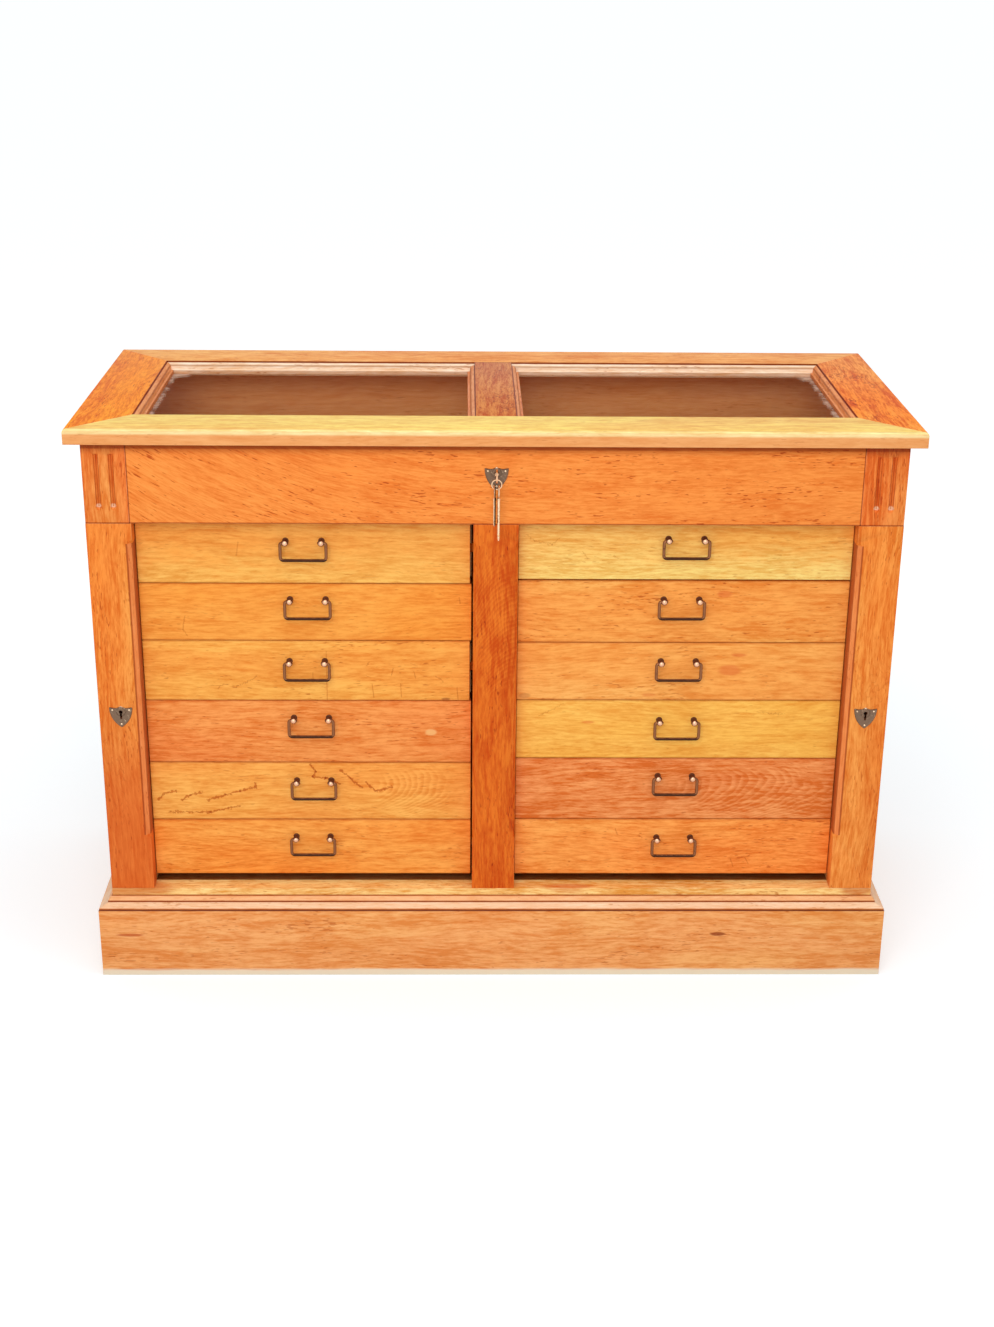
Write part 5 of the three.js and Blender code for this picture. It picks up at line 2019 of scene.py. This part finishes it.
FRONTS: dict[str, Oak] = {
    "left_1": Oak(
        tint(250, 164, 70), 1.0, figure=0.1, fade=0.9, patch=tint(253, 190, 92), pores=0.35,
        strokes=trails(((-400, 746), (-404, 722)), strength=0.4),
    ),
    "left_2": Oak(
        tint(250, 154, 56), 0.9, figure=0.1, pores=0.45, patches=0.2,
        strokes=trails(((-489, 622), (-493, 600), (-487, 590)), ((-57, 655), (-55, 645)), strength=0.45),
    ),
    "left_3": Oak(
        tint(250, 164, 70), 1.0, figure=0.1, pores=0.7, patches=0.6, patch=tint(253, 184, 84), strokes=CRACKS,
        spots=(stain(-78, 481, 9, 3, DARK),),
    ),
    "left_4": Oak(
        tint(244, 142, 68), 1.25, figure=0.3, pores=0.7, patches=0.15, warmth=0.7,
        spots=(stain(-102, 423, 12, 7, tint(250, 190, 120), 0.75),),
    ),
    "left_5": Oak(
        tint(249, 162, 72), 1.0, figure=0.1, pores=0.45, patches=0.5, patch=tint(253, 188, 90), warmth=0.3,
        strokes=TIGER, arches=SWIRL,
    ),
    "left_6": Oak(tint(250, 152, 60), 1.1, figure=0.1, pores=0.6, patches=0.3, warmth=0.6),
    "right_1": Oak(
        tint(253, 178, 80), 1.0, figure=0.15, fade=1.0, pores=0.4, patch=tint(254, 214, 118), warmth=0.35,
        strokes=trails(
            ((47, 759), (61, 748), (88, 743), (100, 753)), ((136, 730), (144, 720)), ((185, 724), (193, 719)), strength=0.35
        ),
    ),
    "right_2": Oak(
        tint(250, 162, 74), 1.1, figure=0.15, pores=0.8, patches=0.6, warmth=0.4, spots=(stain(362, 661, 14, 7, RUST),)
    ),
    "right_3": Oak(
        tint(250, 164, 76), 1.0, figure=0.15, pores=0.6, patches=0.5, patch=tint(253, 184, 96), warmth=0.45,
        spots=(stain(377, 532, 22, 11, RUST), stain(390, 558, 15, 4, RUST), stain(249, 489, 14, 4, RUST, 0.4),
               stain(48, 487, 12, 6, DARK, 0.35)),
    ),
    "right_4": Oak(
        tint(251, 182, 76), 0.9, figure=0.15, pores=0.4, patches=0.5, patch=tint(254, 192, 92), warmth=0.25,
        strokes=trails(((72, 452), (93, 462), (112, 474)), ((425, 459), (470, 456)), half=0.8 * MM, strength=0.45),
        spots=(stain(152, 441, 13, 3, RUST, 0.5),),
    ),
    "right_5": Oak(tint(240, 142, 76), 1.5, figure=0.4, pores=0.6, patches=0.1, warmth=0.6, arches=CATHEDRAL),
    "right_6": Oak(
        tint(252, 150, 66), 1.2, figure=0.15, pores=0.8, patches=0.3, warmth=0.35,
        strokes=trails(
            ((396, 193), (401, 180)), ((420, 196), (426, 183)), ((240, 237), (247, 232)), ((202, 248), (207, 237)), strength=0.5
        ),
    ),
}
TRIMS: dict[str, tuple[float, float]] = {"left_1": (2.4 * MM, 0.0), "left_3": (2.4 * MM, 0.0), "right_1": (0.0, 1.8 * MM)}


# Studio


@dataclass(frozen=True)
class Lamp:
    """A soft square lamp.

    Attributes:
        place: Where it hangs, in metres.
        target: What it points at.
        size: Its side, in metres.
        power: Its power, in watts.
    """

    place: Point
    target: Point
    size: float
    power: float

    def hang(self, name: str) -> None:
        """Put the lamp into the scene."""
        data = bpy.data.lights.new(name, "AREA")
        data.shape, data.size, data.energy = "SQUARE", self.size, self.power
        lamp = bpy.data.objects.new(name, data)
        lamp.location = self.place
        lamp.rotation_euler = (Vector(self.target) - Vector(self.place)).to_track_quat("-Z", "Y").to_euler()
        bpy.context.scene.collection.objects.link(lamp)


@dataclass(frozen=True)
class Studio:
    """Camera, floor, white surroundings and lamps.

    Attributes:
        place: The camera's place, in metres.
        pitch: How far it looks down, in degrees.
        yaw: How far it looks to the right, in degrees.
        roll: How far it leans, in degrees.
        lens: Its focal length, in millimetres on a long side of 36.
        sky: The strength of the light from all round.
        glow: How much white the floor near the cabinet adds where the camera or a reflection sees it.
        far_glow: How much it adds farther away, where less light falls on it.
        spread: The distances between which the one goes over into the other, in metres.
        lamps: The lamps.
    """

    place: Point = (-0.05197, -3.05555, 1.67006)
    pitch: float = 21.72
    yaw: float = 1.13
    roll: float = 0.55
    lens: float = 51.79
    sky: float = 0.62
    glow: float = 0.37
    far_glow: float = 0.52
    spread: tuple[float, float] = (0.9, 2.2)
    lamps: tuple[Lamp, ...] = (
        Lamp((-0.6, -3.6, 2.5), (0.0, 0.0, 0.5), 2.6, 63.5),
        Lamp((0.3, -0.6, 3.4), (0.0, 0.0, 0.9), 2.4, 22.0),
    )

    def camera(self) -> None:
        """Set up the camera from its turns: it looks along the yaw and pitch, and its upright leans by the roll."""
        pitch, yaw, roll = (math.radians(turn) for turn in (self.pitch, self.yaw, self.roll))
        ahead = Vector((math.sin(yaw) * math.cos(pitch), math.cos(yaw) * math.cos(pitch), -math.sin(pitch)))
        right = Vector((math.cos(yaw), -math.sin(yaw), 0.0))
        up = right.cross(ahead)
        across = math.cos(roll) * right + math.sin(roll) * up
        upright = math.cos(roll) * up - math.sin(roll) * right
        data = bpy.data.cameras.new("camera")
        data.lens, data.sensor_width, data.sensor_fit = self.lens, 36.0, "AUTO"
        data.clip_start, data.clip_end = 0.05, 200.0
        made = bpy.data.objects.new("camera", data)
        made.matrix_world = Matrix((across, upright, -ahead)).transposed().to_4x4()
        made.location = self.place
        bpy.context.scene.collection.objects.link(made)
        bpy.context.scene.camera = made

    @staticmethod
    def seen(shader: Shader) -> Value:
        """Give one where the camera looks straight, by reflection or through glass."""
        path = shader.node("ShaderNodeLightPath", {}, {})
        rays = [Value(shader, path.outputs[name]) for name in ("Is Camera Ray", "Is Glossy Ray", "Is Transmission Ray")]
        return rays[0].at_least(rays[1]).at_least(rays[2])

    def surroundings(self) -> None:
        """Make the pale floor and the white world."""
        reach = 60.0
        mesh = bpy.data.meshes.new("floor")
        mesh.from_pydata([(-reach, -reach, 0), (reach, -reach, 0), (reach, reach, 0), (-reach, reach, 0)], [], [(0, 1, 2, 3)])
        floor = bpy.data.objects.new("floor", mesh)
        bpy.context.scene.collection.objects.link(floor)
        shader = Shader("floor_white")
        matt = shader.node("ShaderNodeBsdfDiffuse", {}, {"Color": (0.75, 0.81, 0.84)})
        x, y, _ = shader.place()
        away = (x * x + y * y).root().rising(*self.spread)
        level = (away * (self.far_glow - self.glow) + self.glow) * self.seen(shader)
        white = shader.mixed(level, (0.0, 0.0, 0.0), (1.0, 1.0, 1.0))
        glow = shader.node("ShaderNodeEmission", {}, {"Color": white, "Strength": 1.0})
        both = shader.node("ShaderNodeAddShader", {}, {0: matt.outputs[0], 1: glow.outputs[0]})
        shader.tree.links.new(both.outputs[0], shader.output.inputs["Surface"])
        mesh.materials.append(shader.material)
        world = bpy.data.worlds.new("white_room")
        world.use_nodes = True
        sky = Shader.__new__(Shader)
        sky.tree = world.node_tree
        sky.tree.nodes.clear()
        share = self.seen(sky)
        light = sky.node("ShaderNodeBackground", {}, {"Color": (1.0, 1.0, 1.0), "Strength": share * (1.0 - self.sky) + self.sky})
        output = sky.node("ShaderNodeOutputWorld", {}, {})
        sky.tree.links.new(light.outputs[0], output.inputs["Surface"])
        bpy.context.scene.world = world

    def build(self) -> None:
        """Set everything up."""
        self.camera()
        self.surroundings()
        for number, lamp in enumerate(self.lamps):
            lamp.hang(f"lamp_{number + 1}")
        bpy.context.scene.view_settings.view_transform = "Standard"


def main() -> None:
    """Build and dress the cabinet, sub-assembly by sub-assembly."""
    logging.basicConfig(level=logging.INFO, format="%(name)s: %(message)s")
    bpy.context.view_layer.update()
    Studio().build()
    parts: list[Assembly] = [Plinth(), Carcass(), Lid(), LidLock()]
    parts += [LockingStile(hand) for hand in HANDS]
    for key, front in FRONTS.items():
        hand, row = key.split("_")
        end_trim, foot_trim = TRIMS.get(key, (0.0, 0.0))
        parts.append(Drawer(hand, int(row), front, end_trim=end_trim, foot_trim=foot_trim))
    for part in parts:
        part.build()
        part.dress()
        for name, made in part.pieces.items():
            log.info("%s: %d faces", name, len(made.data.polygons))


if __name__ == "__main__":
    main()
